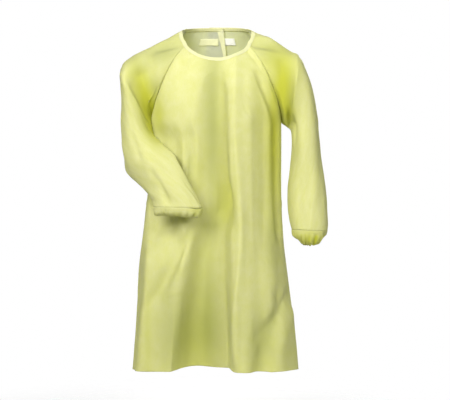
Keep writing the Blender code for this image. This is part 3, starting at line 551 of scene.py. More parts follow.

# Main creases, placed as the camera sees them: x and z in millimetres on the plane through the
# origin, then half widths and depths at the start and end (troughs below 0, ridges above), and where
# it differs, how much wider it is on its right (+) or left (-) and how round its middle is.
frontCreases = [
    # middle valley and the deep end of it at the waist
    ([(10, -101), (10, -264), (12, -399), (20, -517), (36, -585), (48, -640)], 34, 26, -14, -26, -0.35),
    ([(24, -570), (-10, -656), (-37, -771), (-47, -906), (-47, -1150)], 30, 46, -20, -18),
    ([(-91, -340), (-88, -450), (-101, -520)], 14, 18, -7, -9),
    # ridge beside the middle, crisp towards the hem
    ([(64, -95), (57, -297), (71, -500), (78, -703), (68, -906), (64, -1160)], 30, 12, 13, 20, -0.3, 1.25),
    # side fold under the left arm
    ([(140, -105), (158, -264), (164, -433), (164, -619), (158, -760)], 26, 30, -7, -10),
    ([(108, -200), (112, -400), (116, -568), (122, -760)], 24, 26, 5, 7),
    # slanting creases of the skirt
    ([(250, -870), (199, -967), (130, -1052)], 16, 26, -8, -5, 0.4),
    ([(262, -925), (235, -1010), (195, -1120)], 16, 26, 8, 4),
    ([(170, -960), (165, -1050), (160, -1180)], 40, 65, -4, -24),
    ([(-98, -680), (-139, -777), (-183, -855), (-236, -925)], 20, 18, -13, -10, -0.4),
    ([(-226, -640), (-237, -804), (-250, -973), (-266, -1140)], 12, 14, 6, 10),
    ([(-170, -893), (-125, -880)], 6, 6, 4, 2),
    ([(-85, -860), (-90, -1000), (-92, -1180)], 50, 70, -6, -34, 0.0, 2.0),
    ([(-220, -575), (-203, -650)], 7, 8, -7, -3),
    # pull from the neck and the raglan seams
    ([(98, -60), (140, -105), (168, -160)], 8, 12, -4, -3),
    ([(-92, -75), (-112, -130), (-120, -200)], 8, 14, -3, -2),
    ([(20, -100), (26, -190)], 8, 14, 2, 1),
]
backCreases = [
    ([(10, -80), (0, -300), (8, -540)], 26, 18, -4, -6, 0.3),
    ([(-100, -100), (-110, -300), (-85, -560)], 20, 14, 4, 6),
    ([(95, -120), (118, -340), (90, -560)], 18, 16, -5, -8),
    ([(180, -200), (190, -400), (160, -570)], 14, 12, -6, -7),
    ([(-185, -180), (-180, -380), (-150, -570)], 14, 12, -5, -7),
    # below the ties the cloth springs out in soft flutes
    ([(-60, -610), (-85, -820), (-95, -1160)], 20, 36, -8, -10),
    ([(60, -610), (75, -840), (100, -1160)], 18, 36, -7, -11, 0.2),
    ([(130, -605), (165, -800), (190, -1160)], 16, 30, -6, -9),
    ([(-135, -610), (-170, -860), (-205, -1160)], 16, 30, -7, -9, -0.2),
    ([(0, -640), (-12, -840), (4, -1160)], 16, 26, 5, 7),
    ([(-215, -700), (-150, -800), (-110, -930)], 12, 20, -5, -4, 0.4),
]
rightSleeveFront = [
    # fold from the shoulder down to the elbow, with the hollow of the armpit inside it
    ([(-318, -150), (-301, -196), (-281, -240), (-258, -294), (-240, -322), (-199, -365),
      (-165, -398), (-139, -443), (-108, -488)], 14, 10, 20, 10, 0.0, 1.0),
    ([(-262, -120), (-240, -195), (-216, -255), (-200, -290)], 34, 26, -26, -12, -0.25),
    ([(-225, -70), (-215, -150), (-195, -215)], 14, 16, -8, -6),
    # creases that run to the cuff
    ([(-112, -500), (-82, -540), (-52, -582)], 6, 5, -5, -3, 0.3),
    ([(-130, -520), (-100, -560), (-88, -590)], 9, 6, 4, 2),
    ([(-225, -470), (-190, -520), (-165, -580)], 12, 8, -5, -4),
    ([(-290, -300), (-280, -370), (-262, -430)], 14, 10, -4, -5),
    ([(-240, -400), (-200, -450), (-150, -500)], 12, 10, -4, -3),
]
rightSleeveBack = [
    ([(-180, -120), (-215, -220), (-235, -330)], 20, 14, -6, -5),
    ([(-290, -200), (-270, -300), (-240, -380)], 14, 10, -4, -6),
    ([(-270, -400), (-220, -440), (-170, -500)], 12, 10, -6, -4, 0.2),
    ([(-285, -440), (-240, -500), (-190, -560)], 10, 8, 4, 3),
]
leftSleeveFront = [
    ([(268, -90), (266, -196), (264, -300), (266, -400)], 12, 13, 20, 10, 0.0, 1.0),
    ([(214, -100), (226, -190), (234, -250)], 26, 20, -16, -6, 0.25),
    ([(276, -80), (268, -150)], 5, 6, -5, -2),
    ([(170, -42), (205, -48)], 5, 4, -3, -2),
    ([(302, -110), (318, -260), (322, -420), (322, -560)], 26, 26, 10, 8),
    ([(338, -300), (345, -450), (352, -600)], 10, 12, -3, -3),
    ([(280, -500), (288, -590), (300, -655)], 8, 6, -3, -4),
    ([(322, -560), (322, -650)], 8, 6, 3, 4),
]
leftSleeveBack = [
    ([(170, -100), (215, -200), (240, -310)], 20, 14, -6, -6),
    ([(290, -160), (275, -300), (290, -430)], 14, 12, -5, -4),
    ([(325, -260), (318, -420), (335, -560)], 12, 12, 4, 4),
    ([(262, -420), (275, -540), (300, -640)], 10, 8, -5, -4, 0.2),
]

creasing = {
    "routeSteps": 28,
    "endFade": 0.18,          # share of a crease's length over which it starts and ends
    "turnFade": 0.35,         # how soon a crease dies out where the cloth turns away to the side
    "round": 1.7,
    "shadeFullAt": 0.110,        # depth in metres at which a trough's painted shade is at its deepest
}
# Small creases all over, each a short line on the cloth: how many to a square metre, their half
# length, half width and depth (from, to), and how far they may turn from the cloth's length.
crumple = {
    "front_panel": {"density": 150, "seed": 11, "turn": 55},
    "back_panel_left": {"density": 150, "seed": 12, "turn": 55},
    "back_panel_right": {"density": 150, "seed": 13, "turn": 55},
    "sleeve_left": {"density": 260, "seed": 14, "turn": 50},
    "sleeve_right": {"density": 300, "seed": 15, "turn": 65},
}
smallCrease = {
    "length": (0.014, 0.070),
    "width": (0.0026, 0.0085),
    "depth": (0.0003, 0.0014),
    "bend": 5.0,
    "round": 1.4,
}
# Uneven cloth: sizes of the lumps in metres across and along, and how high they are.
unevenness = [((0.110, 0.210), 0.0030, 3), ((0.050, 0.085), 0.0013, 4), ((0.022, 0.030), 0.0005, 5)]


def asSeen(points):   # where the camera sees them, on the upright plane through the origin
    far = -view["place"][1]
    scale = far / (far + points[..., 1])
    height = view["place"][2]
    return points[..., 0] * scale, height + (points[..., 2] - height) * scale


def creasePush(x, z, crease):
    route = np.array(crease[0]) * mm
    wideStart, wideEnd, deepStart, deepEnd = (size * mm for size in crease[1:5])
    skew = crease[5] if len(crease) > 5 else 0.0
    roundness = crease[6] if len(crease) > 6 else creasing["round"]
    lengths = knotsOf(route[:, None])
    line = smoothRows(route, lengths, np.linspace(0, lengths[-1], creasing["routeSteps"]))
    nearest = np.full(x.shape, np.inf)
    aside, along = np.zeros(x.shape), np.zeros(x.shape)
    count = len(line) - 1
    for k in range(count):
        start, step = line[k], line[k + 1] - line[k]
        share = ((x - start[0]) * step[0] + (z - start[1]) * step[1]) / (step @ step)
        share = np.clip(share, -np.inf if k == 0 else 0.0, np.inf if k == count - 1 else 1.0)
        dx, dz = x - start[0] - share * step[0], z - start[1] - share * step[1]
        distance = np.hypot(dx, dz)
        closer = distance < nearest
        nearest = np.where(closer, distance, nearest)
        aside = np.where(closer, np.sign(dz * step[0] - dx * step[1]) * distance, aside)
        along = np.where(closer, (k + share) / count, along)
    run = np.clip(along, 0, 1)
    width = wideStart + (wideEnd - wideStart) * run
    width = width * (1 + skew * np.tanh(aside / width))
    fade = creasing["endFade"]
    ends = smooth((along + fade) / fade / 2) * smooth((1 + fade - along) / fade / 2)
    depth = (deepStart + (deepEnd - deepStart) * run) * ends
    return depth * np.exp(-np.abs(aside / width) ** roundness)


def mainCreases(piece, creases, facing):   # facing -1 takes the cloth that looks forwards, +1 backwards
    x, z = asSeen(piece["points"])
    if facing > 0:
        x, z = piece["points"][..., 0], piece["points"][..., 2]
    shown = smooth((facing * piece["normals"][..., 1] + 0.1) / creasing["turnFade"])
    pushes = [creasePush(x, z, crease) for crease in creases]
    # troughs are also painted darker and more saturated: painted shade in the creases
    troughs = sum(np.maximum(-push, 0) for push in pushes)
    piece["hollow"] = piece["hollow"] + shown * troughs / creasing["shadeFullAt"]
    return shown * sum(pushes)


# Painted shade: ovals where the yellow is painted deeper and more saturated, in the shaded armpits and
# folds, and ovals where it is painted duller where light hardly falls. Soft ovals as the camera sees them:
# middle, half sizes, lean in degrees, and strength.
paintedDeepShade = {
    "sleeve_right": (
        ((-255, -165), (36, 60), 25, 0.45), ((-228, -262), (36, 80), 24, 1.0),
        ((-206, -335), (34, 50), 30, 0.8),
    ),
    "sleeve_left": (
        ((218, -190), (40, 110), -12, 0.95), ((240, -280), (24, 50), 0, 0.7),
        ((190, -95), (40, 50), -30, 0.4),
    ),
    "front_panel": (
        ((30, -580), (34, 100), 0, 0.30), ((192, -330), (26, 270), 0, 0.85),
        ((140, -300), (20, 170), 0, 0.22), ((-62, -480), (24, 80), -10, 0.25),
        ((-236, -1020), (12, 160), 0, 0.35), ((-196, -285), (20, 62), 0, 0.60),
    ),
    "cuff_left": (((315, -705), (70, 30), 0, 0.7),),
    "cuff_right": (((-60, -600), (30, 30), 0, 0.4),),
}
paintedDullShade = {
    "sleeve_right": (
        ((-180, -70), (70, 40), 25, 0.70), ((-276, -110), (30, 50), 30, 0.4),
        ((-212, -190), (20, 34), 10, 0.6), ((-182, -300), (14, 34), 10, 0.7),
    ),
    "sleeve_left": (((180, -70), (70, 45), -25, 0.66), ((225, -230), (32, 80), 0, 0.9)),
    "front_panel": (
        ((-12, -300), (32, 280), 0, 0.78), ((20, -610), (36, 60), 0, 0.25),
        ((198, -400), (20, 240), 0, 0.62), ((-120, -1030), (85, 130), 0, 0.70),
        ((-30, -900), (40, 200), 0, 0.58), ((-20, -1040), (60, 120), 0, 0.35),
        ((160, -1030), (70, 110), 0, 0.54), ((-92, -450), (16, 80), 0, 0.30),
        ((188, -700), (30, 120), 0, 0.45),
    ),
}


def ovals(piece, spots):
    x, z = (values / mm for values in asSeen(piece["points"]))
    total = np.zeros(x.shape)
    for (atX, atZ), (wide, tall), lean, strength in spots:
        c, s = np.cos(radians(lean)), np.sin(radians(lean))
        across, up = (x - atX) * c + (z - atZ) * s, (z - atZ) * c - (x - atX) * s
        total = total + strength * np.exp(-((across / wide) ** 2) - (up / tall) ** 2)
    return total * smooth((0.3 - piece["normals"][..., 1]) / 0.4)   # on cloth that looks forwards


# paints the deeper and duller shade of the ovals onto a piece
def paintShade(piece, name):
    piece["hollow"] = np.clip(piece["hollow"] + ovals(piece, paintedDeepShade.get(name, ())), 0, 1)
    piece["dim"] = np.clip(ovals(piece, paintedDullShade.get(name, ())), 0, 1)


def smallCreases(piece, count, seed, turn):
    rng = np.random.default_rng(seed)
    points, normals = piece["points"], piece["normals"]
    push = np.zeros(points.shape[:2])
    along = unit(np.gradient(points, axis=0))
    for _ in range(count):
        i, j = rng.integers(points.shape[0]), rng.integers(points.shape[1])
        at, out, ahead = points[i, j], normals[i, j], along[i, j]
        angle = radians(turn) * rng.uniform(-1, 1)
        ahead = unit(ahead - out * (ahead @ out))
        line = ahead * np.cos(angle) + np.cross(out, ahead) * np.sin(angle)
        half = rng.uniform(*smallCrease["length"])
        width = rng.uniform(*smallCrease["width"])
        depth = rng.uniform(*smallCrease["depth"]) * rng.choice((-1.0, -1.0, 1.0))
        bend = rng.uniform(-1, 1) * smallCrease["bend"]
        away = points - at
        a, off = away @ line, away @ out
        b = away @ np.cross(out, line) - bend * a**2
        near = (1 - smooth(np.abs(a) / half)) * (np.abs(off) < half)
        push += depth * near * np.exp(-np.abs(b / width) ** smallCrease["round"])
    return push


def lumps(points, size, seed):   # smooth noise in space, so it runs on across a seam
    rng = np.random.default_rng(seed)
    many = 41
    lattice = rng.uniform(-1, 1, (many, many, many))
    place = points / np.array([size[0], size[0], size[1]]) + many * 3
    cell = np.floor(place).astype(int)
    part = smooth(place - cell)
    total = 0.0
    for corner in np.ndindex(2, 2, 2):
        x, y, z = np.moveaxis((cell + corner) % many, -1, 0)
        total = total + lattice[x, y, z] * np.where(corner, part, 1 - part).prod(axis=-1)
    return total


# Places where the cloth lies a little off its solid: centre, reach and shift in millimetres.
nudges = {
    "sleeve_right": (
        ((-240, -6, -322), (30, 36, 40), (30, 0, 4)),
        ((-236, -50, -318), (24, 24, 30), (8, 0, 0)),
    ),
    "front_panel": (((-214, -40, -320), (30, 50, 50), (-4, -4, 0)),),
    "cuff_right": (
        ((-136, -190, -640), (44, 60, 24), (0, 0, 16)),
        ((-64, -200, -606), (20, 60, 26), (6, 0, -8)),
        ((-196, -180, -610), (14, 60, 16), (-8, 0, -6)),
    ),
    "cuff_left": (
        ((372, -40, -712), (20, 60, 26), (-12, 0, 12)),
        ((262, -40, -712), (16, 60, 24), (8, 0, 10)),
    ),
}


def nudged(points, name):
    for centre, reach, shift in (np.array(spot) * mm for spot in nudges.get(name, ())):
        away = (((points - centre) / reach) ** 2).sum(axis=-1)
        points = points + shift * np.exp(-away)[..., None]
    return points


handMade = {
    "front_panel": ((frontCreases, -1),),
    "back_panel_left": ((backCreases, 1),),
    "back_panel_right": ((backCreases, 1),),
    "sleeve_left": ((leftSleeveFront, -1), (leftSleeveBack, 1)),
    "sleeve_right": ((rightSleeveFront, -1), (rightSleeveBack, 1)),
}


def creased(name):
    piece, settings = pieces[name], crumple[name]
    points = piece["points"]
    piece["plain"] = points
    piece["normals"] = gridNormals(points, piece["closed"], signs[name])
    piece["hollow"] = np.zeros(points.shape[:2])
    push = sum(mainCreases(piece, creases, facing) for creases, facing in handMade[name])
    area = knotsOf(points)[-1] * acrossDistance(points, True)[:, -1].mean()
    push = push + smallCreases(piece, round(settings["density"] * area), settings["seed"], settings["turn"])
    for size, height, seed in unevenness:
        push = push + height * lumps(points, size, seed)
    clear = smooth(piece["clear"] / cloth["creaseStandOff"])
    piece["points"] = nudged(points + piece["normals"] * (push * clear)[..., None], name)
    piece["normals"] = gridNormals(piece["points"], piece["closed"], signs[name])
    paintShade(piece, name)


for name in handMade:
    creased(name)

# The cuffs are gathered on elastic: a flat ridge where the casing starts, and below it fine uneven
# gathers of many widths, deepest at the opening.
gathers = {
    "waves": ((27, 0.0021, 0.4), (43, 0.0014, 1.9), (64, 0.0007, 3.1)),   # how many round, height, phase
    "drift": ((3, 0.22, 0.7), (7, 0.10, 0.0)),                            # how their spacing changes
    "uneven": 0.25,           # share by which their height changes
    "startsAt": 0.006,        # distances from the seam
    "fullAt": 0.020,
    "atStart": 0.12,
    "ridge": 0.0008,
    "ridgeAt": 0.004,
    "ridgeReach": 0.0030,
    "pinch": 0.0035,
    "pinches": {"left": (0.62, 0.10), "right": (0.02, 0.30, 0.55)},       # shares of the way round
    "pinchWidth": 0.02,       # share of the way round
    "pinchFrom": 0.01,
    "sewnOver": 0.0025,       # still flat at the seam itself
    "shadeFullAt": 0.006,        # depth at which a gather's painted shade is at its deepest
    "shadeMost": 0.5,
}


def gathered(side):
    name = "cuff_" + side
    cuff = pieces[name]
    points, below = cuff["points"], cuff["clear"]
    cuff["plain"] = points
    normals = gridNormals(points, True, signs[name])
    turn = 2 * pi * cuff["columnsAt"] / walls[name].shape[1]
    turn = turn + sum(size * np.sin(count * turn + phase) for count, size, phase in gathers["drift"])
    height = sum(size * np.sin(count * turn + phase) for count, size, phase in gathers["waves"])
    height = height * (1 - gathers["uneven"] * (1 - np.sin(5 * turn + 1.0)))
    grown = smooth((below - gathers["startsAt"]) / (gathers["fullAt"] - gathers["startsAt"]))
    push = height[None] * (gathers["atStart"] + (1 - gathers["atStart"]) * grown)
    push = push + gathers["ridge"] * np.exp(-(((below - gathers["ridgeAt"]) / gathers["ridgeReach"]) ** 2))
    for share in gathers["pinches"][side]:
        gap = np.abs((turn / (2 * pi) - share + 0.5) % 1 - 0.5) / gathers["pinchWidth"]
        push = push - gathers["pinch"] * np.exp(-gap**2)[None] * smooth(below / gathers["pinchFrom"])
    push = push * smooth(below / gathers["sewnOver"])
    cuff["points"] = nudged(points + normals * push[..., None], name)
    cuff["normals"] = gridNormals(cuff["points"], True, signs[name])
    # the gathers' troughs are painted darker: painted shade in the folds of the cuff
    cuff["hollow"] = np.clip(-height[None] * grown / gathers["shadeFullAt"], 0, gathers["shadeMost"])
    paintShade(cuff, name)


for side in ("left", "right"):
    gathered(side)
print("creases pressed in")


# Nonwoven web: cloudy thickness, stray fibres and the small points where the web is bonded.
webSizes = {
    # noise: how many a metre, detail, stretch, distortion
    "clouds": (26.0, 3.0, (1.0, 1.0, 1.0), 0.0),
    "streaks": (210.0, 4.0, (1.0, 0.35, 1.0), 1.2),
    "fibres": (900.0, 2.0, (1.0, 0.3, 1.0), 2.0),
    "cloudShare": 0.55,
    "thin": (0.36, 0.66),     # where the web turns from its light to its deep tint
    "bondPitch": 0.0021,
    "bond": (0.62, 0.9),
    "bondTint": 0.3,
    "fibreHeight": 0.35,
    "bondHeight": 0.45,
    "streakHeight": 0.4,
    "rough": (0.62, 0.82),
}


def buildWeb():
    inputs = [("Vector", "vector"), ("Light", "colour"), ("Deep", "colour"), ("Bond", "colour")]
    outputs = [("Color", "colour"), ("Roughness", "number"), ("Height", "number")]
    group, given, result = nodeGroup("nonwovenWeb", inputs, outputs)
    sizes, vector = webSizes, given.outputs["Vector"]

    def maths(operation, a, b=None):
        return mathNode(group, operation, a, b)

    clouds, streaks, fibres = (
        noiseNode(group, vector, *sizes[layer]) for layer in ("clouds", "streaks", "fibres")
    )
    share = sizes["cloudShare"]
    thin = maths("ADD", maths("MULTIPLY", clouds, share), maths("MULTIPLY", streaks, 1 - share))
    thin = ramp(group, thin, *sizes["thin"], 0.0, 1.0)
    body = mixColour(group, thin, given.outputs["Light"], given.outputs["Deep"])
    split = group.nodes.new("ShaderNodeSeparateXYZ")
    group.links.new(vector, split.inputs[0])
    waves = []
    for operation in ("ADD", "SUBTRACT"):   # two slanting rows of waves cross at the bond points
        slant = maths(operation, split.outputs["X"], split.outputs["Y"])
        waves.append(maths("SINE", maths("MULTIPLY", slant, pi / sizes["bondPitch"])))
    bonds = ramp(group, maths("ABSOLUTE", maths("MULTIPLY", *waves)), *sizes["bond"], 0.0, 1.0)
    tint = mixColour(group, maths("MULTIPLY", bonds, sizes["bondTint"]), body, given.outputs["Bond"])
    height = maths("MULTIPLY", fibres, sizes["fibreHeight"])
    height = maths("SUBTRACT", height, maths("MULTIPLY", bonds, sizes["bondHeight"]))
    height = maths("ADD", height, maths("MULTIPLY", streaks, sizes["streakHeight"]))
    rough = ramp(group, streaks, 0.3, 0.7, *sizes["rough"])
    for label, value in (("Color", tint), ("Roughness", rough), ("Height", height)):
        group.links.new(value, result.inputs[label])
    return group


web = buildWeb()
# light and deep tints of the web, tint of its bond points, and tint and share of the light let through
tints = {
    "yellowOuter": ((0.90, 0.89, 0.48), (0.83, 0.83, 0.35), (0.75, 0.77, 0.24), (0.86, 0.87, 0.06), 0.42),
    # the inner face is painted darker and greyer than the outer face: painted shade inside the gown
    "yellowInnerShaded": ((0.66, 0.68, 0.65), (0.60, 0.62, 0.58), (0.56, 0.58, 0.52), (0.80, 0.82, 0.14), 0.42),
    "yellowDouble": ((0.82, 0.82, 0.50), (0.77, 0.77, 0.41), (0.74, 0.74, 0.30), (0.82, 0.82, 0.16), 0.25),
    "paleLoop": ((0.88, 0.88, 0.60), (0.82, 0.83, 0.52), (0.80, 0.81, 0.50), (0.86, 0.86, 0.44), 0.20),
    "whiteHook": ((0.93, 0.93, 0.92), (0.88, 0.88, 0.87), (0.82, 0.82, 0.82), (0.90, 0.90, 0.88), 0.10),
}
# Painted shade: a dull grey-green for the dim marks and a deep saturated yellow for the hollows and folds,
# mixed into the cloth's colour
paintedShadeTints = {"dim": (0.46, 0.485, 0.20), "hollow": (0.64, 0.655, 0.07)}
finish = {
    "Sheen Weight": 0.12,
    "Sheen Roughness": 0.45,
    "Specular IOR Level": 0.35,
}
relief = {"Strength": 0.55, "Distance": 0.00012}


def clothMaterial(name):
    light, deep, bond, through, share = tints[name]
    made, tree, shader = newMaterial(name)
    add, link = tree.nodes.new, tree.links.new
    lengths, fabric, bump = add("ShaderNodeUVMap"), add("ShaderNodeGroup"), add("ShaderNodeBump")
    lengths.uv_map = "cloth"
    fabric.node_tree = web
    link(lengths.outputs["UV"], fabric.inputs["Vector"])
    for label, colour in (("Light", light), ("Deep", deep), ("Bond", bond)):
        fabric.inputs[label].default_value = (*colour, 1.0)
    for node, values in ((shader, finish), (bump, relief)):
        for label, value in values.items():
            node.inputs[label].default_value = value
    body = fabric.outputs["Color"]
    # painted shade: each mark mixes its darker tint into the cloth's colour
    for label, tint in paintedShadeTints.items():
        shadeMarks = add("ShaderNodeAttribute")
        shadeMarks.attribute_name = label
        body = mixColour(tree, shadeMarks.outputs["Fac"], body, tint)
    link(body, shader.inputs["Base Color"])
    link(fabric.outputs["Roughness"], shader.inputs["Roughness"])
    link(fabric.outputs["Height"], bump.inputs["Height"])
    link(bump.outputs["Normal"], shader.inputs["Normal"])
    passing, mix = add("ShaderNodeBsdfTranslucent"), add("ShaderNodeMixShader")
    passing.inputs["Color"].default_value = (*through, 1.0)
    mix.inputs["Fac"].default_value = share
    link(shader.outputs[0], mix.inputs[1])
    link(passing.outputs[0], mix.inputs[2])
    link(mix.outputs[0], tree.nodes["Material Output"].inputs["Surface"])
    return made


materials = {name: clothMaterial(name) for name in tints}


backwards = np.array((0.0, 1.0, 0.0))


def gridMesh(name, points, closed, outward, outer="yellowDouble", inner=None, shades=None):
    # quads with the cloth's own lengths as UV, in metres
    rows, columns = points.shape[:2]
    index = np.arange(rows * columns).reshape(rows, columns)
    across = acrossDistance(points, True)
    across = across - across[:, columns // 2: columns // 2 + 1]
    along = downDistance(points)
    uv = np.stack([across, along], axis=-1)
    if closed:
        index = np.concatenate([index, index[:, :1]], axis=1)
        gap = np.linalg.norm(points[:, :1] - points[:, -1:], axis=-1)
        last = uv[:, -1:] + np.stack([gap, along[:, :1] - along[:, -1:]], axis=-1)
        uv = np.concatenate([uv, last], axis=1)
    corners, places = (
        [grid[:-1, :-1], grid[:-1, 1:], grid[1:, 1:], grid[1:, :-1]] for grid in (index, uv)
    )
    if np.cross(points[0, 1] - points[0, 0], points[1, 0] - points[0, 0]) @ outward < 0:
        corners, places = corners[::-1], places[::-1]
    faces = np.stack(corners, axis=-1).reshape(-1, 4)
    mesh = bpy.data.meshes.new(name)
    mesh.from_pydata(points.reshape(-1, 3).tolist(), [], faces.tolist())
    layer = mesh.uv_layers.new(name="cloth")
    layer.data.foreach_set("uv", np.stack(places, axis=2).reshape(-1).astype(np.float32))
    # the marks of painted shade, one value a point
    for label in paintedShadeTints:
        shade = mesh.attributes.new(label, "FLOAT", "POINT")
        values = shades[label].reshape(-1) if shades else np.zeros(rows * columns)
        shade.data.foreach_set("value", values.astype(np.float32))
    mesh.shade_smooth()
    for tint in (outer, inner or outer):
        mesh.materials.append(materials[tint])
    return placed(name, mesh)


def thicken(made, thickness, offset=-1.0):
    solidify = made.modifiers.new("thickness", "SOLIDIFY")
    solidify.thickness = thickness
    solidify.offset = offset
    solidify.material_offset = 1
    solidify.material_offset_rim = 0
    return made


def carried(made):
    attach(made, "root")
    return made


def standsFor(made, node):
    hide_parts(node)
    return carried(made)


shown = {}
for name, piece in pieces.items():
    outward = piece["normals"][0, 0]
    made = gridMesh(
        name + "_cloth", piece["points"], piece["closed"], outward, "yellowOuter", "yellowInnerShaded", piece
    )
    shown[name] = standsFor(thicken(made, cloth["thickness"]), name)
print("panels, sleeves and cuffs made")

# What lies on the back follows its creases: each point moves as the nearest cloth was moved by them.
following = {"neighbours": 4, "softening": 0.002}
followers = {}


def followTree(name):
    if name not in followers:
        plain = pieces[name]["plain"].reshape(-1, 3)
        tree = KDTree(len(plain))
        for k, place in enumerate(plain):
            tree.insert(place, k)
        tree.balance()
        followers[name] = tree, (pieces[name]["points"] - pieces[name]["plain"]).reshape(-1, 3)
    return followers[name]


def followCloth(points, names, share):
    made, count = points.copy(), following["neighbours"]
    for spot in np.ndindex(points.shape[:2]):
        near = []
        for name in names:
            tree, shift = followTree(name)
            near += [(distance, shift[k]) for _, k, distance in tree.find_n(points[spot], count)]
        near = sorted(near, key=lambda item: item[0])[:count]
        weights = [1 / (distance + following["softening"]) for distance, _ in near]
        moved = sum(weight * move for weight, (_, move) in zip(weights, near)) / sum(weights)
        made[spot] += moved * share
    return made


backPanels = ("back_panel_left", "back_panel_right")


def stripGrid(name, step, under, share=1.0):   # a tape's, tie's or tail's fine grid on the creased cloth
    points, _, _ = finer(panelGrid(name, wallSizes["tape"]), step, False)
    return followCloth(points, under, share)


def stripOut(points):   # directions out from a strip, away from the gown's upright axis
    out = gridNormals(points, False, 1.0)
    return out * np.sign((out * (points * [1, 1, 0])).sum())


tape = {"step": 0.0024, "thickness": 0.0009}
stripPoints = {}


def addTape(name, panel, tint):
    stripPoints[name] = points = stripGrid(name, tape["step"], (panel,))
    made = gridMesh(name + "_patch", points, False, backwards, tint)
    return standsFor(thicken(made, tape["thickness"]), name)


shown["hook_tape"] = addTape("hook_tape", "back_panel_left", "whiteHook")
shown["loop_tape"] = addTape("loop_tape", "back_panel_right", "paleLoop")

ties = {
    "step": 0.0026,
    "thickness": 0.0009,
    "bow": 0.0009,            # how far a tie's middle stands off its edges
    "wave": 0.0011,
    "waves": (55, 23),        # radians a metre, along the tie
    "pinchOver": 0.035,       # over how far it is gathered into the knot
    "pinch": 0.62,
    "pleat": 0.0016,
    "pleats": 3,
}


def tieSurface(points, knotAtEnd):   # rows run across the tie, columns along it
    along = acrossDistance(points, True)
    toKnot = along[:, -1:] - along if knotAtEnd else along
    across = np.linspace(-1, 1, len(points))[:, None]
    near = 1 - smooth(toKnot / ties["pinchOver"])
    middle = points.mean(axis=0, keepdims=True)
    points = middle + (points - middle) * (1 - (1 - ties["pinch"]) * near)[..., None]
    fine, slow = ties["waves"]
    lift = ties["bow"] * (1 - across**2)
    lift = lift + ties["wave"] * np.sin(along * fine + 3 * across) * np.sin(along * slow) * (1 - near)
    lift = lift + ties["pleat"] * near * np.cos(across * ties["pleats"] * pi)
    return points + stripOut(points) * lift[..., None]


def addTie(side):
    name = "waist_tie_" + side
    stripPoints[name] = points = tieSurface(stripGrid(name, ties["step"], backPanels), side == "right")
    made = gridMesh(name + "_strip", points, False, backwards)
    return standsFor(thicken(made, ties["thickness"]), name)


for side in ("left", "right"):
    shown["waist_tie_" + side] = addTie(side)
print("tapes and ties made")

# Inside the back the folded edge of the right panel shows pale, and so does the loop tape's band.
insides = {
    "hemWidth": 0.022,
    "hemNarrow": 0.012,       # lower down
    "narrowOver": 0.10,
    "hemColumns": 7,
    "off": -0.0012,
    "bandOff": -0.0036,       # through the panel that carries the tape
    "thickness": 0.0004,
}


def addHem():
    piece = pieces["back_panel_right"]
    points = piece["points"]
    inward = acrossDistance(points, False)
    below = points[-1:, -1:, 2] - points[:, -1:, 2]
    wide, narrow = insides["hemWidth"], insides["hemNarrow"]
    width = narrow + (wide - narrow) * (1 - smooth(below / insides["narrowOver"]))
    rows = []
    for k, fields in enumerate(zip(points, piece["normals"])):
        at = width[k, 0] * np.linspace(1, 0, insides["hemColumns"])
        order = np.argsort(inward[k])
        place, out = (
            np.stack([np.interp(at, inward[k][order], field[order, axis]) for axis in range(3)], axis=-1)
            for field in fields
        )
        rows.append(place + insides["off"] * unit(out))
    made = gridMesh("back_panel_right_hem", np.array(rows), False, -backwards, "paleLoop")
    return thicken(carried(made), insides["thickness"])


def addBand():
    points = stripPoints["loop_tape"]
    points = points + stripOut(points) * insides["bandOff"]
    made = gridMesh("loop_tape_band", points, False, -backwards, "paleLoop")
    return thicken(carried(made), insides["thickness"])


backHem = addHem()
addBand()

# The neck's binding is one strip folded over the raw edge, from one end of the back to the other.
binding = {
    "width": 0.012,
    "edgeRows": 3,            # rows below the neck's edge that give the cloth's direction there
    "step": 0.0036,
    "out": 0.0009,            # its two legs, from the cloth's outer face
    "in": -0.0014,
    "rise": 0.0012,
    "outAt": (1.0, 0.89, 0.78, 0.66, 0.5, 0.33, 0.16, 0.0),   # rows of points, as shares of the width
    "inAt": (0.0, 0.25, 0.5, 0.75, 1.0),
    "pucker": 0.0005,
    "puckerWaves": (760, 47, 131),        # radians a metre, as on the seams
    "stitchRow": 2,           # the row of points that the stitches draw in
    "drawnIn": 0.00035,
    "drawnOver": 0.09,        # share of the width
    "stitchLift": 0.0001,
    "thickness": 0.0004,
    "evening": 6,
}


def neckEdge(name, columns):
    points, normals = pieces[name]["points"], pieces[name]["normals"]
    top, low = (-1, -1 - binding["edgeRows"]) if "panel" in name else (0, binding["edgeRows"])
    return points[top, columns], normals[top, columns], unit(points[low, columns] - points[top, columns])


def neckRoute():
    def everyColumn(name):
        return np.arange(pieces[name]["points"].shape[1])[::-1 if "back" in name else 1]

    def overShoulder(side):
        at, whole = pieces["sleeve_" + side]["columnsAt"], walls["sleeve_" + side].shape[1]
        behind = np.flatnonzero(at >= whole - cloth["neckColumns"])
        return np.concatenate([behind, np.flatnonzero(at <= cloth["neckColumns"])])[1:-1]

    route = (
        ("back_panel_right", everyColumn("back_panel_right")), ("sleeve_right", overShoulder("right")),
        ("front_panel", everyColumn("front_panel")), ("sleeve_left", overShoulder("left")[::-1]),
        ("back_panel_left", everyColumn("back_panel_left")),
    )
    fields = [np.concatenate(parts) for parts in zip(*(neckEdge(*stretch) for stretch in route))]
    knots = knotsOf(fields[0][:, None])
    at = np.linspace(0, knots[-1], round(knots[-1] / binding["step"]))
    edge, out, down = (
        np.stack([np.interp(at, knots, field[:, axis]) for axis in range(3)], axis=-1) for field in fields
    )
    for _ in range(binding["evening"]):
        for field in (edge, out, down):
            field[1:-1] = field[1:-1] / 2 + (field[:-2] + field[2:]) / 4
    tangent = unit(np.gradient(edge, axis=0))
    out, down = (unit(v - tangent * (v * tangent).sum(axis=-1, keepdims=True)) for v in (out, down))
    return edge, out, down, at


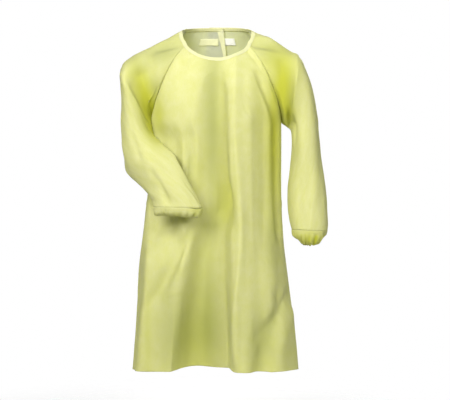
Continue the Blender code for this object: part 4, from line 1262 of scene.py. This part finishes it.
def addBinding():
    edge, out, down, at = neckRoute()
    high, low, rise, width = binding["out"], binding["in"], binding["rise"], binding["width"]
    middle = (high + low) / 2
    outer = [(high, share * width) for share in binding["outAt"]]
    over = [(middle + (high - middle) * np.cos(a), -rise * np.sin(a)) for a in radians(30) * np.arange(1, 6)]
    inner = [(low, share * width) for share in binding["inAt"]]
    fine, drift, slow = binding["puckerWaves"]
    pucker = np.sin(at * fine + 2.2 * np.sin(at * drift)) * (0.6 + 0.4 * np.sin(at * slow))
    stitchAt = binding["outAt"][binding["stitchRow"]]
    columns = []
    for off, below in outer + over + inner:
        share, facing = max(below, 0.0) / width, np.sign(off - middle)
        lift = binding["pucker"] * pucker * share * facing
        drawn = -binding["drawnIn"] * np.exp(-((share - stitchAt) / binding["drawnOver"]) ** 2) * facing
        columns.append(edge + out * (off + lift + drawn)[:, None] + down * below)
    points = np.stack(columns, axis=1)
    made = gridMesh("neck_binding_strip", points, False, out[0])
    stitch = points[:, binding["stitchRow"]] + out * binding["stitchLift"]
    return standsFor(thicken(made, binding["thickness"]), "neck_binding"), stitch


shown["neck_binding"], bindingStitch = addBinding()

tails = {
    "step": 0.0026,
    "follow": 0.8,            # how far they follow the creases of the cloth under them
    "bow": 0.0009,
    "wave": 0.0022,
    "waveAt": 44,             # radians a metre
    "waveFrom": 0.06,         # distance from the knot
    "slant": 0.004,           # of the cut end
    "slantOver": 0.03,
    "pleatOver": 0.03,
    "pleat": 0.0014,
}


def addTail(side, phase):
    name = "tie_tail_" + side
    points = stripGrid(name, tails["step"], backPanels, tails["follow"])
    below = points[-1:, :, 2].mean() - points[..., 2]
    across = np.linspace(-1, 1, points.shape[1])[None]
    near = 1 - smooth(below / tails["pleatOver"])
    wave = np.sin(below * tails["waveAt"] + phase + 0.5 * across) * smooth(below / tails["waveFrom"])
    lift = tails["bow"] * (1 - across**2) * (1 - near) + tails["wave"] * wave
    lift = lift + tails["pleat"] * near * np.cos(across * ties["pleats"] * pi)
    points = points + stripOut(points) * lift[..., None]
    ending = 1 - smooth((points[..., 2] - points[0, :, 2].min()) / tails["slantOver"])
    points[..., 2] += tails["slant"] * across * ending * (1 if side == "left" else -1)
    made = gridMesh(name + "_strip", points, False, backwards)
    return standsFor(thicken(made, ties["thickness"]), name)


def joined(name, parts):
    bm = bmesh.new()
    for part in parts:
        bm.from_mesh(part.data)
        bpy.data.objects.remove(part)
    mesh = bpy.data.meshes.new(name)
    bm.to_mesh(mesh)
    bm.free()
    mesh.shade_smooth()
    for _ in range(2):   # outer and inner face
        mesh.materials.append(materials["yellowDouble"])
    return placed(name, mesh)


knot = {
    "steps": 56,
    "rows": 13,
    # wraps of the strip: lean in degrees, half height, half depth, width
    "wraps": ((28, 0.0150, 0.0072, 0.0210), (-52, 0.0142, 0.0084, 0.0150)),
    "narrow": 0.25,           # share by which a wrap narrows at its top and bottom
    "pleat": 0.0007,
    "turnIn": 0.0026,
    "thickness": 0.0009,
}


def addKnot():
    low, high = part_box("waist_knot")
    centre = np.array((low + high) / 2)
    turn = np.linspace(0, 2 * pi, knot["steps"], endpoint=False)
    parts = []
    for lean, tall, deep, width in knot["wraps"]:
        c, s = np.cos(radians(lean)), np.sin(radians(lean))
        upward, sideways = np.array([s, 0.0, c]), np.array([c, 0.0, -s])
        rows = []
        for share in np.linspace(-1, 1, knot["rows"]):
            inwards = knot["turnIn"] * share**4 - knot["pleat"] * np.cos(share * 4 * pi + 2 * np.sin(turn))
            ring = upward * ((tall - inwards) * np.cos(turn))[:, None]
            ring = ring + backwards * ((deep - inwards) * np.sin(turn))[:, None]
            half = width / 2 * share * (1 - knot["narrow"] * np.abs(np.cos(turn)))
            rows.append(centre + ring + sideways * half[:, None])
        points = np.array(rows)
        parts.append(gridMesh("wrap", points, True, points[0, 0] - centre))
    made = joined("waist_knot_wraps", parts)
    return standsFor(thicken(made, knot["thickness"]), "waist_knot")


shown["waist_knot"] = addKnot()
for side, phase in (("left", 0.4), ("right", 2.1)):
    shown["tie_tail_" + side] = addTail(side, phase)
print("binding, knot and tails made")

# Machine stitches: one small thread bead every few millimetres along each seam.
sewing = {
    "pitch": 0.0042,
    "long": 0.0030,
    "thick": 0.00042,
    "uneven": (0.85, 1.12),   # sizes of a bead, as shares
    "sides": 6,
    "rings": 4,
    "lift": 0.0002,
    "beside": 0.0024,         # distance of the top stitching from a seam
    "cuffRow": 0.0075,        # distance of a cuff's casing line from its seam
    "inset": 2,               # rows from the outline of a tape or tie
}
threadLook = {"tint": (0.80, 0.79, 0.42), "shade": 0.86, "twistsPerMetre": 1400.0, "rough": (0.5, 0.7)}


def threadMaterial():
    made, tree, shader = newMaterial("thread")
    tint = threadLook["tint"]
    place = tree.nodes.new("ShaderNodeTexCoord")
    twist = noiseNode(tree, place.outputs["Object"], threadLook["twistsPerMetre"], 2.0)
    darker = tuple(threadLook["shade"] * value for value in tint)
    tree.links.new(mixColour(tree, twist, tint, darker), shader.inputs["Base Color"])
    tree.links.new(ramp(tree, twist, 0.3, 0.7, *threadLook["rough"]), shader.inputs["Roughness"])
    return made


thread = threadMaterial()


def stitchTree():
    tree = bpy.data.node_groups.new("stitchRow", "GeometryNodeTree")
    sockets = (
        ("Lines", "INPUT", "Geometry"), ("Pitch", "INPUT", "Float"), ("Length", "INPUT", "Float"),
        ("Thickness", "INPUT", "Float"), ("Seed", "INPUT", "Int"), ("Stitches", "OUTPUT", "Geometry"),
    )
    for label, direction, kind in sockets:
        tree.interface.new_socket(label, in_out=direction, socket_type="NodeSocket" + kind)
    kinds = {
        "given": "NodeGroupInput", "curve": "GeometryNodeMeshToCurve", "spread": "GeometryNodeResampleCurve",
        "tangent": "GeometryNodeInputTangent", "turn": "FunctionNodeAlignRotationToVector",
        "bead": "GeometryNodeMeshUVSphere", "size": "ShaderNodeCombineXYZ",
        "uneven": "FunctionNodeRandomValue", "scaled": "ShaderNodeVectorMath",
        "row": "GeometryNodeInstanceOnPoints", "real": "GeometryNodeRealizeInstances",
        "paint": "GeometryNodeSetMaterial", "result": "NodeGroupOutput",
    }
    node = {name: tree.nodes.new(kind) for name, kind in kinds.items()}
    node["spread"].mode = "LENGTH"
    node["turn"].axis = "Z"
    node["uneven"].data_type = "FLOAT"
    node["scaled"].operation = "SCALE"
    node["paint"].inputs["Material"].default_value = thread
    for label, value in (("Segments", sewing["sides"]), ("Rings", sewing["rings"]), ("Radius", 0.5)):
        node["bead"].inputs[label].default_value = value
    limits = [socket for socket in node["uneven"].inputs if socket.enabled and socket.type == "VALUE"]
    for socket, value in zip(limits, sewing["uneven"]):
        socket.default_value = value
    links = (
        ("given", "Lines", "curve", "Mesh"), ("curve", "Curve", "spread", "Curve"),
        ("given", "Pitch", "spread", "Length"), ("spread", "Curve", "row", "Points"),
        ("bead", "Mesh", "row", "Instance"), ("tangent", "Tangent", "turn", "Vector"),
        ("turn", "Rotation", "row", "Rotation"), ("given", "Thickness", "size", "X"),
        ("given", "Thickness", "size", "Y"), ("given", "Length", "size", "Z"),
        ("given", "Seed", "uneven", "Seed"), ("size", "Vector", "scaled", 0),
        ("scaled", "Vector", "row", "Scale"), ("row", "Instances", "real", "Geometry"),
        ("real", "Geometry", "paint", "Geometry"), ("paint", "Geometry", "result", "Stitches"),
    )
    for source, output, target, entry in links:
        tree.links.new(node[source].outputs[output], node[target].inputs[entry])
    share = next(socket for socket in node["uneven"].outputs if socket.enabled)
    tree.links.new(share, node["scaled"].inputs["Scale"])
    return tree


stitching = stitchTree()


def stitched(node, lines, seed):   # lines are open rows of points
    name = node + "_stitches"
    points, edges = [], []
    for line in lines:
        start = len(points)
        points += [tuple(point) for point in line]
        edges += [(k, k + 1) for k in range(start, len(points) - 1)]
    mesh = bpy.data.meshes.new(name + "_line")
    mesh.from_pydata(points, edges, [])
    guide = placed(name + "_line", mesh)
    modifier = guide.modifiers.new("stitches", "NODES")
    modifier.node_group = stitching
    values = {"Pitch": sewing["pitch"], "Length": sewing["long"], "Thickness": sewing["thick"], "Seed": seed}
    for socket in stitching.interface.items_tree:
        if socket.in_out == "INPUT" and socket.name in values:
            modifier[socket.identifier] = values[socket.name]
    bpy.context.view_layer.update()
    made = bpy.data.meshes.new_from_object(guide.evaluated_get(bpy.context.evaluated_depsgraph_get()))
    guide.modifiers.remove(modifier)
    bpy.data.objects.remove(guide)
    made.name = name
    made.shade_smooth()
    return carried(placed(name, made))


def besideEdge(name, column, inwards):   # a line moved in from a panel's edge, just over the cloth
    piece = pieces[name]
    edge, inner = piece["points"][:, column], piece["points"][:, column + inwards]
    return edge + unit(inner - edge) * sewing["beside"] + piece["normals"][:, column] * sewing["lift"]


def outline(points, inset):   # the outline of a grid of points, drawn in by a few rows
    inner = points[inset: -inset, inset: -inset]
    return np.concatenate([inner[0, :-1], inner[:-1, -1], inner[-1, -2::-1], inner[-2::-1, 0], inner[0, :1]])


seams = {}
for name in ("front_panel", "back_panel_left", "back_panel_right"):
    lines = []
    if name != "back_panel_right":
        lines.append(besideEdge(name, -1, -1))
    if name != "back_panel_left":
        lines.append(besideEdge(name, 0, 1))
    seams[name] = stitched(name, lines, 21 + len(seams))
for name in ("cuff_left", "cuff_right"):
    cuff = pieces[name]
    row = int(np.argmin(np.abs(cuff["clear"].mean(axis=1) - sewing["cuffRow"])))
    line = cuff["points"][row] + cuff["normals"][row] * sewing["lift"]
    seams[name] = stitched(name, [np.concatenate([line, line[:1]])], 31 + len(seams))
seams["neck_binding"] = stitched("neck_binding", [bindingStitch], 41)
for name, grid in stripPoints.items():
    line = outline(grid + stripOut(grid) * sewing["lift"], sewing["inset"])
    seams[name] = stitched(name, [line], 51 + len(seams))
print("stitches sewn:", sum(len(row.data.polygons) for row in seams.values()), "faces")
